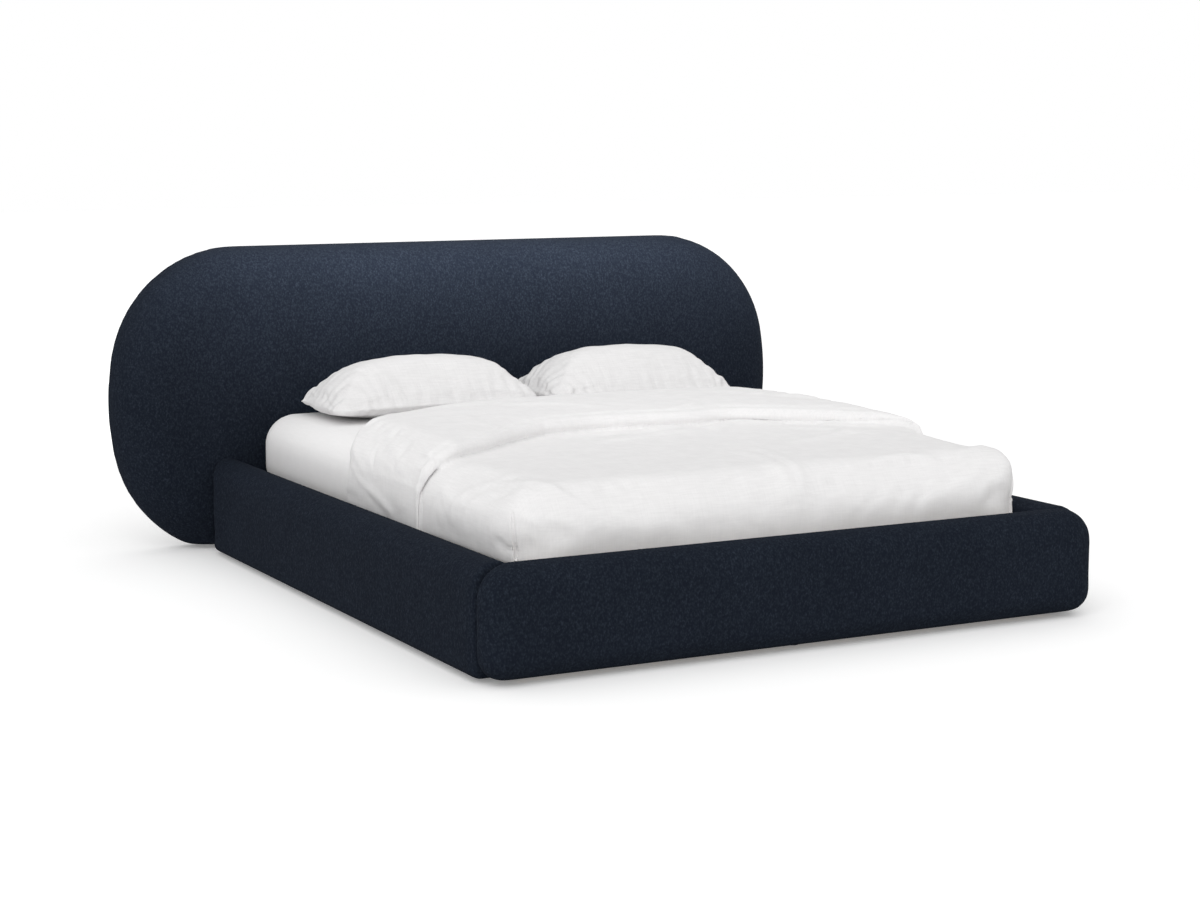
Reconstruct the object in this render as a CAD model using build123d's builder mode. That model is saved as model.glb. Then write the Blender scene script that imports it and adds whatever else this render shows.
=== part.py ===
from build123d import *
from math import asin, atan2, cos, degrees, radians, sin, sqrt
import os

# Storage bed: a padded base with a pill-shaped headboard, and a slatted platform that is hinged near
# the head and lifts on two gas springs over a storage box. Millimetres, +Z up, head end towards +Y.
# The origin is on the floor, under the middle of the whole bed.

os.makedirs("parts", exist_ok=True)

# Mattress and the gaps round it
mattress_width = 1600
mattress_length = 2000
mattress_thickness = 200
mattress_plan_radius = 110
mattress_top_radius = 100
mattress_bottom_radius = 20
side_gap = 31
foot_gap = 60
head_gap = 20

# Base
glide_height = 12
base_height = 303
board_thickness = 22
rail_thickness = 136
rail_edge_radius = 14
rail_rear_radius = 80
rear_rail_height = 148
rear_rail_thickness = 16

# Foot panel
footboard_thickness = 90
footboard_top_corner = 95
footboard_bottom_corner = 68
footboard_front_roll = 58
footboard_back_roll = 24
footboard_board_inset = 105
footboard_board_drop = 40

# Headboard
headboard_width = 2500
headboard_height = 991
headboard_pill_height = 1036
headboard_thickness = 180
headboard_side_share = 0.8736
headboard_shoulder_share = 0.418
headboard_front_roll = 128
headboard_back_roll = 48
headboard_plinth_height = 150
panel_inset = 62
panel_thickness = 18
back_lining_inset = 54
back_lining_thickness = 4
rib_spacing = 1200
rib_width = 60
rib_height = 320
cover_skin = 4

# Clearances
seat_gap = 0.3
running_gap = 0.3
pin_clearance = 0.05
hole_clearance = 0.1
cavity_clearance = 0.5
cut_overrun = 5

# Storage floor
ledger_width = 20
ledger_height = 18
batten_width = 45
batten_count = 5
floor_thickness = 9
floor_gap = 1
glide_radius = 18
rail_glide_count = 4
glide_end_distance = 120

# Lift frame
frame_height = 206
tube_size = 25
tube_wall = 2
frame_head_gap = 30
brace_shares = (0.25, 0.5, 0.75)

# Slats and their holders
slat_count = 14
slat_width = 60
slat_thickness = 8
slat_seat = 24
slat_centre_stop = 8
holder_height = 15
holder_length = 38
holder_lip = 3
holder_floor = 4.5
holder_setback = 5

# Hinge
hinge_setback = 370
hinge_rise = 19
lift_angle = 30
lug_thickness = 4
lug_eye_radius = 14
lug_tail = 45
pin_radius = 5
pin_head_radius = 9
pin_head_thickness = 3
pin_head_gap = 1.2
plate_thickness = 5
plate_margin = 16
plate_head_length = 80
bush_radius = 9

# Hinge plate screws
screw_radius = 3
screw_length = 18
screw_head_radius = 5.5
screw_grid_share = 0.76
screw_rise_share = 0.5

# Gas springs
link_radius = 220
link_spread = 60
cylinder_radius = 7.5
cylinder_wall = 1.3
cylinder_foot = 16
neck_radius = 4
guide_length = 12
rod_radius = 3
piston_length = 8
piston_gap = 0.1
piston_rest = 30
piston_reserve = 3
piston_buffer = 24
eye_radius = 9
eye_thickness = 10
stud_radius = 4
stud_shoulder_radius = 7
stud_head_radius = 6
stud_head_thickness = 1.5

# Brackets and bolts
bracket_leg = 60
bracket_height = 120
bracket_thickness = 4
bracket_rise = 48
bolt_radius = 3
bolt_length = 18
bolt_head_radius = 5.5
bolt_head_height = 3.3
bolt_inset = 36
bolt_pitch = 64
headboard_bolt_radius = 4
headboard_bolt_length = 60
headboard_bolt_head_radius = 7.5
headboard_bolt_head_height = 5.5
headboard_bolt_pitch = 70
headboard_bolt_rise = 48

# Rest brackets under the foot end of the lift frame
rest_from_foot = 60
rest_width = 40
rest_leg = 60
rest_reach = 55
rest_bolt_share = 0.667
buffer_radius = 11
buffer_height = 3.7

# Stop bar that keeps the mattress from sliding to the head
stop_radius = 5
stop_width = 220
stop_rise = 52
stop_gap = 2
stop_bend = 14

# Pull strap round the foot tube
strap_width = 40
strap_offset = 60
strap_thickness = 3
strap_drop = 68
strap_bend = 9

# Sheet
sheet_thickness = 1.5
sheet_hem_rise = 10

# Duvet: a body layer, and the head end folded back on top of it
duvet_thickness = 15
duvet_hem_rise = 14
flap_rise = 45
flap_side = 5
flap_crown = 6
flap_edge_roll = 24
flap_fold_roll = 30
body_end_share = 0.52
flap_station_shares = (
    (-1.0, 0.300, 0.575), (-0.985, 0.294, 0.580), (-0.94, 0.286, 0.592), (-0.86, 0.300, 0.618),
    (-0.70, 0.345, 0.665), (-0.52, 0.408, 0.705), (-0.34, 0.458, 0.732), (-0.12, 0.480, 0.742),
    (0.10, 0.470, 0.745), (0.27, 0.455, 0.745), (0.45, 0.470, 0.742), (0.62, 0.420, 0.738),
    (0.80, 0.375, 0.728), (0.90, 0.330, 0.722), (0.96, 0.285, 0.718), (0.99, 0.250, 0.716),
    (1.0, 0.238, 0.715))

# Pillows
pillow_height = 184
pillow_depth = 410
pillow_head_gap = 80
pillow_seam_share = 0.38
left_pillow_width = 740
left_pillow_centre = -332
right_pillow_width = 715
right_pillow_centre = 424
pillow_station_shares = ((-1.0, 0.10, 0.84), (-0.88, 0.50, 0.98), (-0.62, 0.84, 1.0), (0.0, 1.0, 0.96),
                         (0.62, 0.84, 1.0), (0.88, 0.50, 0.98), (1.0, 0.10, 0.84))

# Places across the bed, measured from the middle
mattress_side = mattress_width / 2
rail_inner = mattress_side + side_gap
rail_outer = rail_inner + rail_thickness

# Places along the bed, from the foot end to the head end
overall_length = footboard_thickness + foot_gap + mattress_length + head_gap + headboard_thickness
foot_front_y = -overall_length / 2
rail_front_y = foot_front_y + footboard_thickness
mattress_foot_y = rail_front_y + foot_gap
mattress_head_y = mattress_foot_y + mattress_length
headboard_front_y = mattress_head_y + head_gap
headboard_back_y = headboard_front_y + headboard_thickness
rear_rail_y = headboard_front_y - rear_rail_thickness

# Heights above the floor
base_z = glide_height
base_top_z = base_z + base_height
board_top_z = base_top_z - rail_thickness / 2
floor_bottom_z = base_z + ledger_height
floor_top_z = floor_bottom_z + floor_thickness
tube_bottom_z = base_z + frame_height
tube_top_z = tube_bottom_z + tube_size
tube_middle_z = tube_bottom_z + tube_size / 2
holder_top_z = tube_top_z + holder_height
mattress_bottom_z = holder_top_z + seat_gap
mattress_top_z = mattress_bottom_z + mattress_thickness

# The stack across the gap between mattress and rail: pin head, lug, spring, plate
plate_x = rail_inner - plate_thickness
pin_head_x = mattress_side + pin_head_gap
lug_x = pin_head_x + pin_head_thickness + running_gap
lug_outer_x = lug_x + lug_thickness
spring_x = (lug_outer_x + plate_x) / 2
tube_outer_x = lug_x
tube_inner_x = tube_outer_x - tube_size

# Hinge axis, and the two spring studs at the same distance from it
hinge_y = mattress_head_y - hinge_setback
hinge_z = tube_top_z + hinge_rise
upper_angle = degrees(asin((hinge_z - tube_middle_z) / link_radius))
lower_angle = upper_angle + link_spread
upper_stud_y = hinge_y - link_radius * cos(radians(upper_angle))
upper_stud_z = hinge_z - link_radius * sin(radians(upper_angle))
lower_stud_y = hinge_y - link_radius * cos(radians(lower_angle))
lower_stud_z = hinge_z - link_radius * sin(radians(lower_angle))
closed_length = 2 * link_radius * sin(radians(link_spread / 2))
open_length = 2 * link_radius * sin(radians((link_spread + lift_angle) / 2))
rod_length = closed_length - piston_rest
cavity_radius = cylinder_radius - cylinder_wall
cavity_start = piston_rest - piston_reserve
cavity_end = open_length - rod_length + piston_length + piston_buffer
cylinder_length = cavity_end + guide_length

frame_foot_y = mattress_foot_y
frame_head_y = mattress_head_y - frame_head_gap


def block(x_span, y_span, z_span, mode=Mode.ADD):
    """Add a block that fills a span along each axis."""
    centre = (sum(x_span) / 2, sum(y_span) / 2, sum(z_span) / 2)
    with Locations(centre):
        Box(x_span[1] - x_span[0], y_span[1] - y_span[0], z_span[1] - z_span[0], mode=mode)


def save(builder, label):
    """Name a finished piece and write it."""
    builder.part.label = label
    export_step(builder.part, f"parts/{label}.step")


def save_mirrored(source, label):
    """Write the mirror image of a left-hand piece as its right-hand one."""
    with BuildPart() as piece:
        mirror(source.part, about=Plane.YZ)
    save(piece, label)
    return piece


def round_rod(place, radius, length, mode=Mode.ADD):
    """Add a rod that starts at a plane and runs along its normal."""
    with Locations(place):
        Cylinder(radius, length, align=(Align.CENTER, Align.CENTER, Align.MIN), mode=mode)


def fastener(place, radius, length, head_radius, head_height):
    """Add a bolt whose head sits on a plane and whose shank runs along its normal."""
    round_rod(place, radius, length)
    with Locations(place):
        Cylinder(head_radius, head_height, align=(Align.CENTER, Align.CENTER, Align.MAX))


def holes(places, radius, length):
    """Cut the holes for a set of bolts."""
    for place in places:
        round_rod(place, radius + hole_clearance, length + cut_overrun, mode=Mode.SUBTRACT)


def hollow_tube(x_span, y_span, z_span):
    """Add a square tube with closed ends."""
    block(x_span, y_span, z_span)
    inner = [(low + tube_wall, high - tube_wall) for low, high in (x_span, y_span, z_span)]
    block(*inner, mode=Mode.SUBTRACT)


def pill_outline(plane, inset):
    """Return the headboard's outline, moved inwards by inset: two lines and six tangent arcs."""
    half_width = headboard_width / 2 - inset
    half_height = headboard_pill_height / 2 - inset
    side_radius = headboard_side_share * headboard_pill_height - inset
    shoulder_radius = headboard_shoulder_share * headboard_pill_height - inset
    side_centre = half_width - side_radius
    rise = half_height - shoulder_radius
    shoulder_centre = side_centre + sqrt((side_radius - shoulder_radius) ** 2 - rise ** 2)
    turn = degrees(atan2(rise, shoulder_centre - side_centre))
    with BuildSketch(plane) as outline:
        with BuildLine():
            CenterArc((side_centre, 0), side_radius, -turn, 2 * turn)
            CenterArc((shoulder_centre, rise), shoulder_radius, turn, 90 - turn)
            CenterArc((shoulder_centre, -rise), shoulder_radius, -90, 90 - turn)
            Line((shoulder_centre, half_height), (-shoulder_centre, half_height))
            Line((shoulder_centre, -half_height), (-shoulder_centre, -half_height))
            CenterArc((-side_centre, 0), side_radius, 180 - turn, 2 * turn)
            CenterArc((-shoulder_centre, rise), shoulder_radius, 90, 90 - turn)
            CenterArc((-shoulder_centre, -rise), shoulder_radius, 180 + turn, 90 - turn)
        make_face()
    return outline.sketch


def pill_slab(back_y, thickness, inset, mode=Mode.ADD):
    """Add a slab with the headboard's outline."""
    centre_z = base_z + headboard_height - headboard_pill_height / 2
    plane = Plane(origin=(0, back_y, centre_z), x_dir=(1, 0, 0), z_dir=(0, -1, 0))
    extrude(pill_outline(plane, inset), amount=thickness, mode=mode)


def mattress_shape(side_growth, top_growth, bottom_z):
    """Return the mattress's rounded block, grown at its sides and top."""
    half_width = mattress_side + side_growth
    with BuildPart() as shape:
        block((-half_width, half_width),
              (mattress_foot_y - side_growth, mattress_head_y + side_growth),
              (bottom_z, mattress_top_z + top_growth))
        fillet(shape.edges().filter_by(Axis.Z), mattress_plan_radius + side_growth)
        fillet(shape.faces().sort_by(Axis.Z)[-1].edges(), mattress_top_radius + side_growth)
    return shape.part


# Headboard
panel_back_y = headboard_back_y - back_lining_thickness
panel_front_y = panel_back_y - panel_thickness
rib_front_y = headboard_front_y + cover_skin
rib_top_z = base_z + rib_height
rib_places = (-rib_spacing / 2, rib_spacing / 2)


def add_ribs(mode=Mode.ADD):
    """Add the two upright ribs inside the headboard."""
    for x in rib_places:
        block((x - rib_width / 2, x + rib_width / 2), (rib_front_y, panel_front_y),
              (base_z, rib_top_z), mode=mode)


def level_bottom():
    """Cut a headboard piece off level with the underside of the base."""
    split(bisect_by=Plane.XY.offset(base_z), keep=Keep.TOP)


headboard_bolt_places = [
    Plane(origin=(x, rear_rail_y, base_z + headboard_bolt_rise + step * headboard_bolt_pitch),
          x_dir=(1, 0, 0), z_dir=(0, 1, 0))
    for x in rib_places for step in (0, 1)]

with BuildPart() as headboard_bolts:
    for place in headboard_bolt_places:
        fastener(place, headboard_bolt_radius, headboard_bolt_length,
                 headboard_bolt_head_radius, headboard_bolt_head_height)
save(headboard_bolts, "headboard_bolts")

with BuildPart() as headboard_cover:
    pill_slab(headboard_back_y, headboard_thickness, 0)
    fillet(headboard_cover.faces().sort_by(Axis.Y)[0].edges(), headboard_front_roll)
    fillet(headboard_cover.faces().sort_by(Axis.Y)[-1].edges(), headboard_back_roll)
    level_bottom()
    block((-rail_inner, rail_inner), (headboard_front_y, panel_front_y),
          (base_z, base_z + headboard_plinth_height))
    pill_slab(headboard_back_y, back_lining_thickness, back_lining_inset - cavity_clearance,
              mode=Mode.SUBTRACT)
    pill_slab(panel_back_y, panel_thickness, panel_inset - cavity_clearance, mode=Mode.SUBTRACT)
    add_ribs(mode=Mode.SUBTRACT)
    holes(headboard_bolt_places, headboard_bolt_radius, headboard_bolt_length)
save(headboard_cover, "headboard_cover")

with BuildPart() as headboard_ribs:
    add_ribs()
    holes(headboard_bolt_places, headboard_bolt_radius, headboard_bolt_length)
save(headboard_ribs, "headboard_ribs")

with BuildPart() as headboard_panel:
    pill_slab(panel_back_y, panel_thickness, panel_inset)
    level_bottom()
save(headboard_panel, "headboard_panel")

with BuildPart() as headboard_back:
    pill_slab(headboard_back_y, back_lining_thickness, back_lining_inset)
    level_bottom()
save(headboard_back, "headboard_back")

# Bolts of the brackets, each by the plane that its head sits on
bracket_bottom_z = base_z + bracket_rise
bracket_bolt_heights = [bracket_bottom_z + bracket_height / 2 + side * bolt_pitch / 2 for side in (-1, 1)]
foot_corner_y = rail_front_y
head_corner_y = rear_rail_y
rest_start_y = mattress_foot_y + rest_from_foot
rest_middle_y = rest_start_y + rest_width / 2
rest_top_z = tube_bottom_z - seat_gap - buffer_height
rest_bolt_z = rest_top_z - rest_bolt_share * rest_leg

rail_bolt_places = []
cross_bolt_places = []
for side in (-1, 1):
    for corner_y, inward in ((foot_corner_y, 1), (head_corner_y, -1)):
        for height in bracket_bolt_heights:
            rail_bolt_places.append(Plane(
                origin=(side * (rail_inner - bracket_thickness), corner_y + inward * bolt_inset, height),
                x_dir=(0, 1, 0), z_dir=(side, 0, 0)))
            cross_bolt_places.append(Plane(
                origin=(side * (rail_inner - bolt_inset), corner_y + inward * bracket_thickness, height),
                x_dir=(1, 0, 0), z_dir=(0, -inward, 0)))
    rail_bolt_places.append(Plane(
        origin=(side * (rail_inner - bracket_thickness), rest_middle_y, rest_bolt_z),
        x_dir=(0, 1, 0), z_dir=(side, 0, 0)))
bracket_bolt_places = rail_bolt_places + cross_bolt_places

with BuildPart() as bracket_bolts:
    for place in bracket_bolt_places:
        fastener(place, bolt_radius, bolt_length, bolt_head_radius, bolt_head_height)
save(bracket_bolts, "bracket_bolts")

# Corner brackets
with BuildPart() as corner_brackets:
    for side in (-1, 1):
        for corner_y, inward in ((foot_corner_y, 1), (head_corner_y, -1)):
            rail_leg = sorted((corner_y, corner_y + inward * bracket_leg))
            cross_leg = sorted((corner_y, corner_y + inward * bracket_thickness))
            height_span = (bracket_bottom_z, bracket_bottom_z + bracket_height)
            block(sorted((side * (rail_inner - bracket_thickness), side * rail_inner)), rail_leg,
                  height_span)
            block(sorted((side * (rail_inner - bracket_leg), side * rail_inner)), cross_leg,
                  height_span)
    holes(bracket_bolt_places, bolt_radius, bolt_length)
save(corner_brackets, "corner_brackets")

# Hinge plates and their screws
plate_y = (lower_stud_y - plate_margin, hinge_y + plate_head_length)
plate_z = (lower_stud_z - plate_margin, hinge_z + plate_margin)
plate_length = plate_y[1] - plate_y[0]
plate_height = plate_z[1] - plate_z[0]
plate_middle_y = sum(plate_y) / 2
plate_middle_z = sum(plate_z) / 2
screw_places = [
    Plane(origin=(-plate_x, plate_middle_y + across * plate_length * screw_grid_share / 2,
                  plate_middle_z + up * plate_height * screw_rise_share / 2),
          x_dir=(0, 1, 0), z_dir=(-1, 0, 0))
    for across in (-1, 1) for up in (-1, 1)]
screw_cone = screw_head_radius - screw_radius


def countersunk_screw(place, growth, mode=Mode.ADD):
    """Add a countersunk screw, or the hole for one when growth widens it."""
    round_rod(place, screw_radius + growth, screw_length + growth, mode=mode)
    cone_height = screw_cone + growth
    with Locations(place):
        Cone(screw_head_radius + growth, screw_radius + growth, cone_height,
             align=(Align.CENTER, Align.CENTER, Align.MIN), mode=mode)


with BuildPart() as left_hinge_screws:
    for place in screw_places:
        countersunk_screw(place, 0)
save(left_hinge_screws, "left_hinge_screws")
save_mirrored(left_hinge_screws, "right_hinge_screws")


def eye_sides(outward):
    """Return where a spring's eye starts and ends across the bed, with its running gaps."""
    eye_near = spring_x - outward * (eye_thickness / 2 + running_gap)
    eye_far = spring_x + outward * (eye_thickness / 2 + running_gap)
    return eye_near, eye_far


def add_stud(face_x, outward, stud_y, stud_z):
    """Add a shouldered stud on the left side, whose pin carries a spring's eye."""
    eye_near, eye_far = eye_sides(outward)
    direction = (-outward, 0, 0)
    shoulder_place = Plane(origin=(-face_x, stud_y, stud_z), x_dir=(0, 1, 0), z_dir=direction)
    pin_place = Plane(origin=(-eye_near, stud_y, stud_z), x_dir=(0, 1, 0), z_dir=direction)
    head_place = Plane(origin=(-eye_far, stud_y, stud_z), x_dir=(0, 1, 0), z_dir=direction)
    round_rod(shoulder_place, stud_shoulder_radius, abs(eye_near - face_x))
    round_rod(pin_place, stud_radius, abs(eye_far - eye_near))
    round_rod(head_place, stud_head_radius, stud_head_thickness)


with BuildPart() as left_hinge_plate:
    with BuildSketch(Plane.YZ.offset(-rail_inner)):
        with Locations((plate_middle_y, plate_middle_z)):
            RectangleRounded(plate_length, plate_height, plate_margin)
        with Locations((hinge_y, hinge_z)):
            Circle(pin_radius + pin_clearance, mode=Mode.SUBTRACT)
    extrude(amount=plate_thickness)
    add_stud(plate_x, -1, lower_stud_y, lower_stud_z)
    for place in screw_places:
        countersunk_screw(place, hole_clearance, mode=Mode.SUBTRACT)
save(left_hinge_plate, "left_hinge_plate")
save_mirrored(left_hinge_plate, "right_hinge_plate")

# Hinge pins, and the bushes that hold the lugs off the plates
pin_place = Plane(origin=(-pin_head_x, hinge_y, hinge_z), x_dir=(0, 1, 0), z_dir=(-1, 0, 0))
with BuildPart() as left_hinge_pin:
    round_rod(pin_place, pin_head_radius, pin_head_thickness)
    round_rod(pin_place, pin_radius, rail_inner - pin_head_x)
save(left_hinge_pin, "left_hinge_pin")
save_mirrored(left_hinge_pin, "right_hinge_pin")

bush_start = lug_outer_x + running_gap
bush_place = Plane(origin=(-bush_start, hinge_y, hinge_z), x_dir=(0, 1, 0), z_dir=(-1, 0, 0))
with BuildPart() as left_hinge_bush:
    round_rod(bush_place, bush_radius, plate_x - bush_start)
    round_rod(bush_place, pin_radius + pin_clearance, plate_x - bush_start, mode=Mode.SUBTRACT)
save(left_hinge_bush, "left_hinge_bush")
save_mirrored(left_hinge_bush, "right_hinge_bush")

# Rails: a plywood board inside, and padding that goes over its top and down the outside
with BuildPart() as left_rail_board:
    block((-rail_inner - board_thickness, -rail_inner), (rail_front_y, headboard_front_y),
          (base_z, board_top_z))
    holes(rail_bolt_places, bolt_radius, bolt_length)
    for place in screw_places:
        countersunk_screw(place, hole_clearance, mode=Mode.SUBTRACT)
save(left_rail_board, "left_rail_board")
save_mirrored(left_rail_board, "right_rail_board")

with BuildPart() as left_rail_cover:
    rail_plane = Plane(origin=(0, headboard_front_y, 0), x_dir=(1, 0, 0), z_dir=(0, -1, 0))
    with BuildSketch(rail_plane) as rail_section:
        crown_radius = rail_thickness / 2
        with BuildLine():
            Line((-rail_inner, board_top_z), (-rail_inner, base_z))
            Line((-rail_inner, base_z), (-rail_outer, base_z))
            Line((-rail_outer, base_z), (-rail_outer, board_top_z))
            CenterArc((-rail_inner - crown_radius, board_top_z), crown_radius, 0, 180)
        make_face()
        fillet(rail_section.vertices().group_by(Axis.Y)[0].sort_by(Axis.X)[0], rail_edge_radius)
    extrude(amount=headboard_front_y - rail_front_y)
    with BuildSketch(Plane.XY) as rail_plan:
        with BuildLine():
            Polyline((-rail_inner, rail_front_y), (-rail_outer, rail_front_y),
                     (-rail_outer, headboard_front_y), (-rail_inner, headboard_front_y), close=True)
        make_face()
        fillet(rail_plan.vertices().group_by(Axis.Y)[-1].sort_by(Axis.X)[0], rail_rear_radius)
    extrude(amount=base_top_z, mode=Mode.INTERSECT)
    block((-rail_inner - board_thickness, -rail_inner), (rail_front_y, headboard_front_y),
          (base_z, board_top_z), mode=Mode.SUBTRACT)
save(left_rail_cover, "left_rail_cover")
save_mirrored(left_rail_cover, "right_rail_cover")

# Foot panel: a plywood board let into the back of a thick cushion-like cover
footboard_board_x = rail_outer - footboard_board_inset
footboard_board_y = (rail_front_y - board_thickness, rail_front_y)
footboard_board_z = (base_z, base_top_z - footboard_board_drop)

with BuildPart() as footboard_board:
    block((-footboard_board_x, footboard_board_x), footboard_board_y, footboard_board_z)
    holes(cross_bolt_places, bolt_radius, bolt_length)
save(footboard_board, "footboard_board")

with BuildPart() as footboard_cover:
    foot_plane = Plane(origin=(0, rail_front_y, 0), x_dir=(1, 0, 0), z_dir=(0, -1, 0))
    with BuildSketch(foot_plane) as foot_section:
        with Locations((0, (base_z + base_top_z) / 2)):
            Rectangle(2 * rail_outer, base_height)
        fillet(foot_section.vertices().group_by(Axis.Y)[-1], footboard_top_corner)
        fillet(foot_section.vertices().group_by(Axis.Y)[0], footboard_bottom_corner)
    extrude(amount=footboard_thickness)
    fillet(footboard_cover.faces().sort_by(Axis.Y)[0].edges(), footboard_front_roll)
    fillet(footboard_cover.faces().sort_by(Axis.Y)[-1].edges(), footboard_back_roll)
    block((-footboard_board_x, footboard_board_x), footboard_board_y, footboard_board_z,
          mode=Mode.SUBTRACT)
save(footboard_cover, "footboard_cover")

# Cross rail at the head end
with BuildPart() as rear_rail:
    block((-rail_inner, rail_inner), (rear_rail_y, headboard_front_y),
          (base_z, base_z + rear_rail_height))
    holes(cross_bolt_places, bolt_radius, bolt_length)
    holes(headboard_bolt_places, headboard_bolt_radius, headboard_bolt_length)
save(rear_rail, "rear_rail")

# Storage floor: ledgers, battens across them, and three panels
ledger_inner = rail_inner - ledger_width
with BuildPart() as left_ledger:
    block((-rail_inner, -ledger_inner), (rail_front_y, rear_rail_y), (base_z, floor_bottom_z))
save(left_ledger, "left_ledger")
save_mirrored(left_ledger, "right_ledger")

box_length = rear_rail_y - rail_front_y
batten_pitch = (box_length - batten_width) / (batten_count - 1)
batten_middles = [rail_front_y + batten_width / 2 + index * batten_pitch
                  for index in range(batten_count)]
with BuildPart() as floor_battens:
    for middle in batten_middles:
        block((-ledger_inner, ledger_inner), (middle - batten_width / 2, middle + batten_width / 2),
              (base_z, floor_bottom_z))
save(floor_battens, "floor_battens")

panel_edges = [rail_front_y, batten_middles[1], batten_middles[-2], rear_rail_y]
for label, start, end in zip(("floor_panel_foot", "floor_panel_middle", "floor_panel_head"),
                             panel_edges[:-1], panel_edges[1:]):
    with BuildPart() as floor_panel:
        block((-rail_inner + floor_gap, rail_inner - floor_gap),
              (start + floor_gap / 2, end - floor_gap / 2), (floor_bottom_z, floor_top_z))
    save(floor_panel, label)

# Glides under the boards, the battens and the headboard's ribs
glide_x = rail_inner + board_thickness / 2
glide_start = rail_front_y + glide_end_distance
glide_pitch = (headboard_front_y - rail_front_y - 2 * glide_end_distance) / (rail_glide_count - 1)
glide_places = [(side * glide_x, glide_start + index * glide_pitch)
                for side in (-1, 1) for index in range(rail_glide_count)]
glide_places += [(0, middle) for middle in batten_middles]
glide_places += [(x, (rib_front_y + panel_front_y) / 2) for x in rib_places]
with BuildPart() as glides:
    with Locations([(x, y, 0) for x, y in glide_places]):
        Cylinder(glide_radius, glide_height, align=(Align.CENTER, Align.CENTER, Align.MIN))
save(glides, "glides")

# Rest brackets with rubber buffers, under the side tubes near the foot
with BuildPart() as left_rest_bracket:
    rest_span = (rest_start_y, rest_start_y + rest_width)
    block((-rail_inner, -rail_inner + bracket_thickness), rest_span,
          (rest_top_z - rest_leg, rest_top_z))
    block((-rail_inner, -rail_inner + rest_reach), rest_span,
          (rest_top_z - bracket_thickness, rest_top_z))
    holes(rail_bolt_places, bolt_radius, bolt_length)
save(left_rest_bracket, "left_rest_bracket")
save_mirrored(left_rest_bracket, "right_rest_bracket")

buffer_x = tube_outer_x - tube_size / 2
with BuildPart() as rest_buffers:
    with Locations([(side * buffer_x, rest_middle_y, rest_top_z) for side in (-1, 1)]):
        Cylinder(buffer_radius, buffer_height, align=(Align.CENTER, Align.CENTER, Align.MIN))
save(rest_buffers, "rest_buffers")

# Lift frame of square steel tube, with a lug and a spring stud on each side tube
tube_z = (tube_bottom_z, tube_top_z)
with BuildPart() as lift_frame_left:
    hollow_tube((-tube_outer_x, -tube_inner_x), (frame_foot_y, frame_head_y), tube_z)
    with BuildSketch(Plane.YZ.offset(-lug_outer_x)):
        with Locations((hinge_y, hinge_z)):
            Circle(lug_eye_radius)
        with Locations((upper_stud_y, tube_middle_z), (hinge_y + lug_tail, tube_middle_z)):
            Circle(tube_size / 2)
        make_hull()
        with Locations((hinge_y, hinge_z)):
            Circle(pin_radius + pin_clearance, mode=Mode.SUBTRACT)
    extrude(amount=lug_thickness)
    add_stud(lug_outer_x, 1, upper_stud_y, upper_stud_z)
save(lift_frame_left, "lift_frame_left")
save_mirrored(lift_frame_left, "lift_frame_right")

with BuildPart() as lift_frame_foot:
    hollow_tube((-tube_inner_x, tube_inner_x), (frame_foot_y, frame_foot_y + tube_size), tube_z)
save(lift_frame_foot, "lift_frame_foot")

with BuildPart() as lift_frame_head:
    hollow_tube((-tube_inner_x, tube_inner_x), (frame_head_y - tube_size, frame_head_y), tube_z)
save(lift_frame_head, "lift_frame_head")

spine_start = frame_foot_y + tube_size
spine_end = frame_head_y - tube_size
with BuildPart() as lift_frame_spine:
    hollow_tube((-tube_size / 2, tube_size / 2), (spine_start, spine_end), tube_z)
save(lift_frame_spine, "lift_frame_spine")

with BuildPart() as lift_frame_braces:
    for share in brace_shares:
        middle = spine_start + share * (spine_end - spine_start)
        brace_span = (middle - tube_size / 2, middle + tube_size / 2)
        hollow_tube((-tube_inner_x, -tube_size / 2), brace_span, tube_z)
        hollow_tube((tube_size / 2, tube_inner_x), brace_span, tube_z)
save(lift_frame_braces, "lift_frame_braces")

# Slats in two rows, each slat in a holder at both ends
slat_bottom_z = tube_top_z + holder_floor
slat_pitch = (frame_head_y - frame_foot_y - slat_width - 2 * tube_size) / (slat_count - 1)
slat_middles = [frame_foot_y + tube_size + slat_width / 2 + index * slat_pitch
                for index in range(slat_count)]
holder_outer_x = tube_outer_x - holder_setback
slat_outer_x = holder_outer_x - holder_length + slat_seat
centre_half = slat_centre_stop / 2 + slat_seat
holder_half = slat_width / 2 + holder_lip


def add_slats(growth, mode=Mode.ADD):
    """Add the left row of slats, or cut the slots that they sit in."""
    for middle in slat_middles:
        block((-slat_outer_x - growth, -slat_centre_stop / 2 - seat_gap + growth),
              (middle - slat_width / 2 - growth, middle + slat_width / 2 + growth),
              (slat_bottom_z - growth, slat_bottom_z + slat_thickness + growth), mode=mode)


with BuildPart() as slats_left:
    add_slats(0)
save(slats_left, "slats_left")
save_mirrored(slats_left, "slats_right")

with BuildPart() as slat_caps_left:
    for middle in slat_middles:
        block((-holder_outer_x, -holder_outer_x + holder_length),
              (middle - holder_half, middle + holder_half), (tube_top_z, holder_top_z))
    add_slats(seat_gap, mode=Mode.SUBTRACT)
save(slat_caps_left, "slat_caps_left")
save_mirrored(slat_caps_left, "slat_caps_right")

with BuildPart() as slat_caps_centre:
    for middle in slat_middles:
        block((-centre_half, centre_half), (middle - holder_half, middle + holder_half),
              (tube_top_z, holder_top_z))
        for side in (-1, 1):
            slot_x = sorted((side * slat_centre_stop / 2, side * (centre_half + cut_overrun)))
            block(slot_x, (middle - slat_width / 2 - seat_gap, middle + slat_width / 2 + seat_gap),
                  (slat_bottom_z - seat_gap, slat_bottom_z + slat_thickness + seat_gap),
                  mode=Mode.SUBTRACT)
save(slat_caps_centre, "slat_caps_centre")

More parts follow.
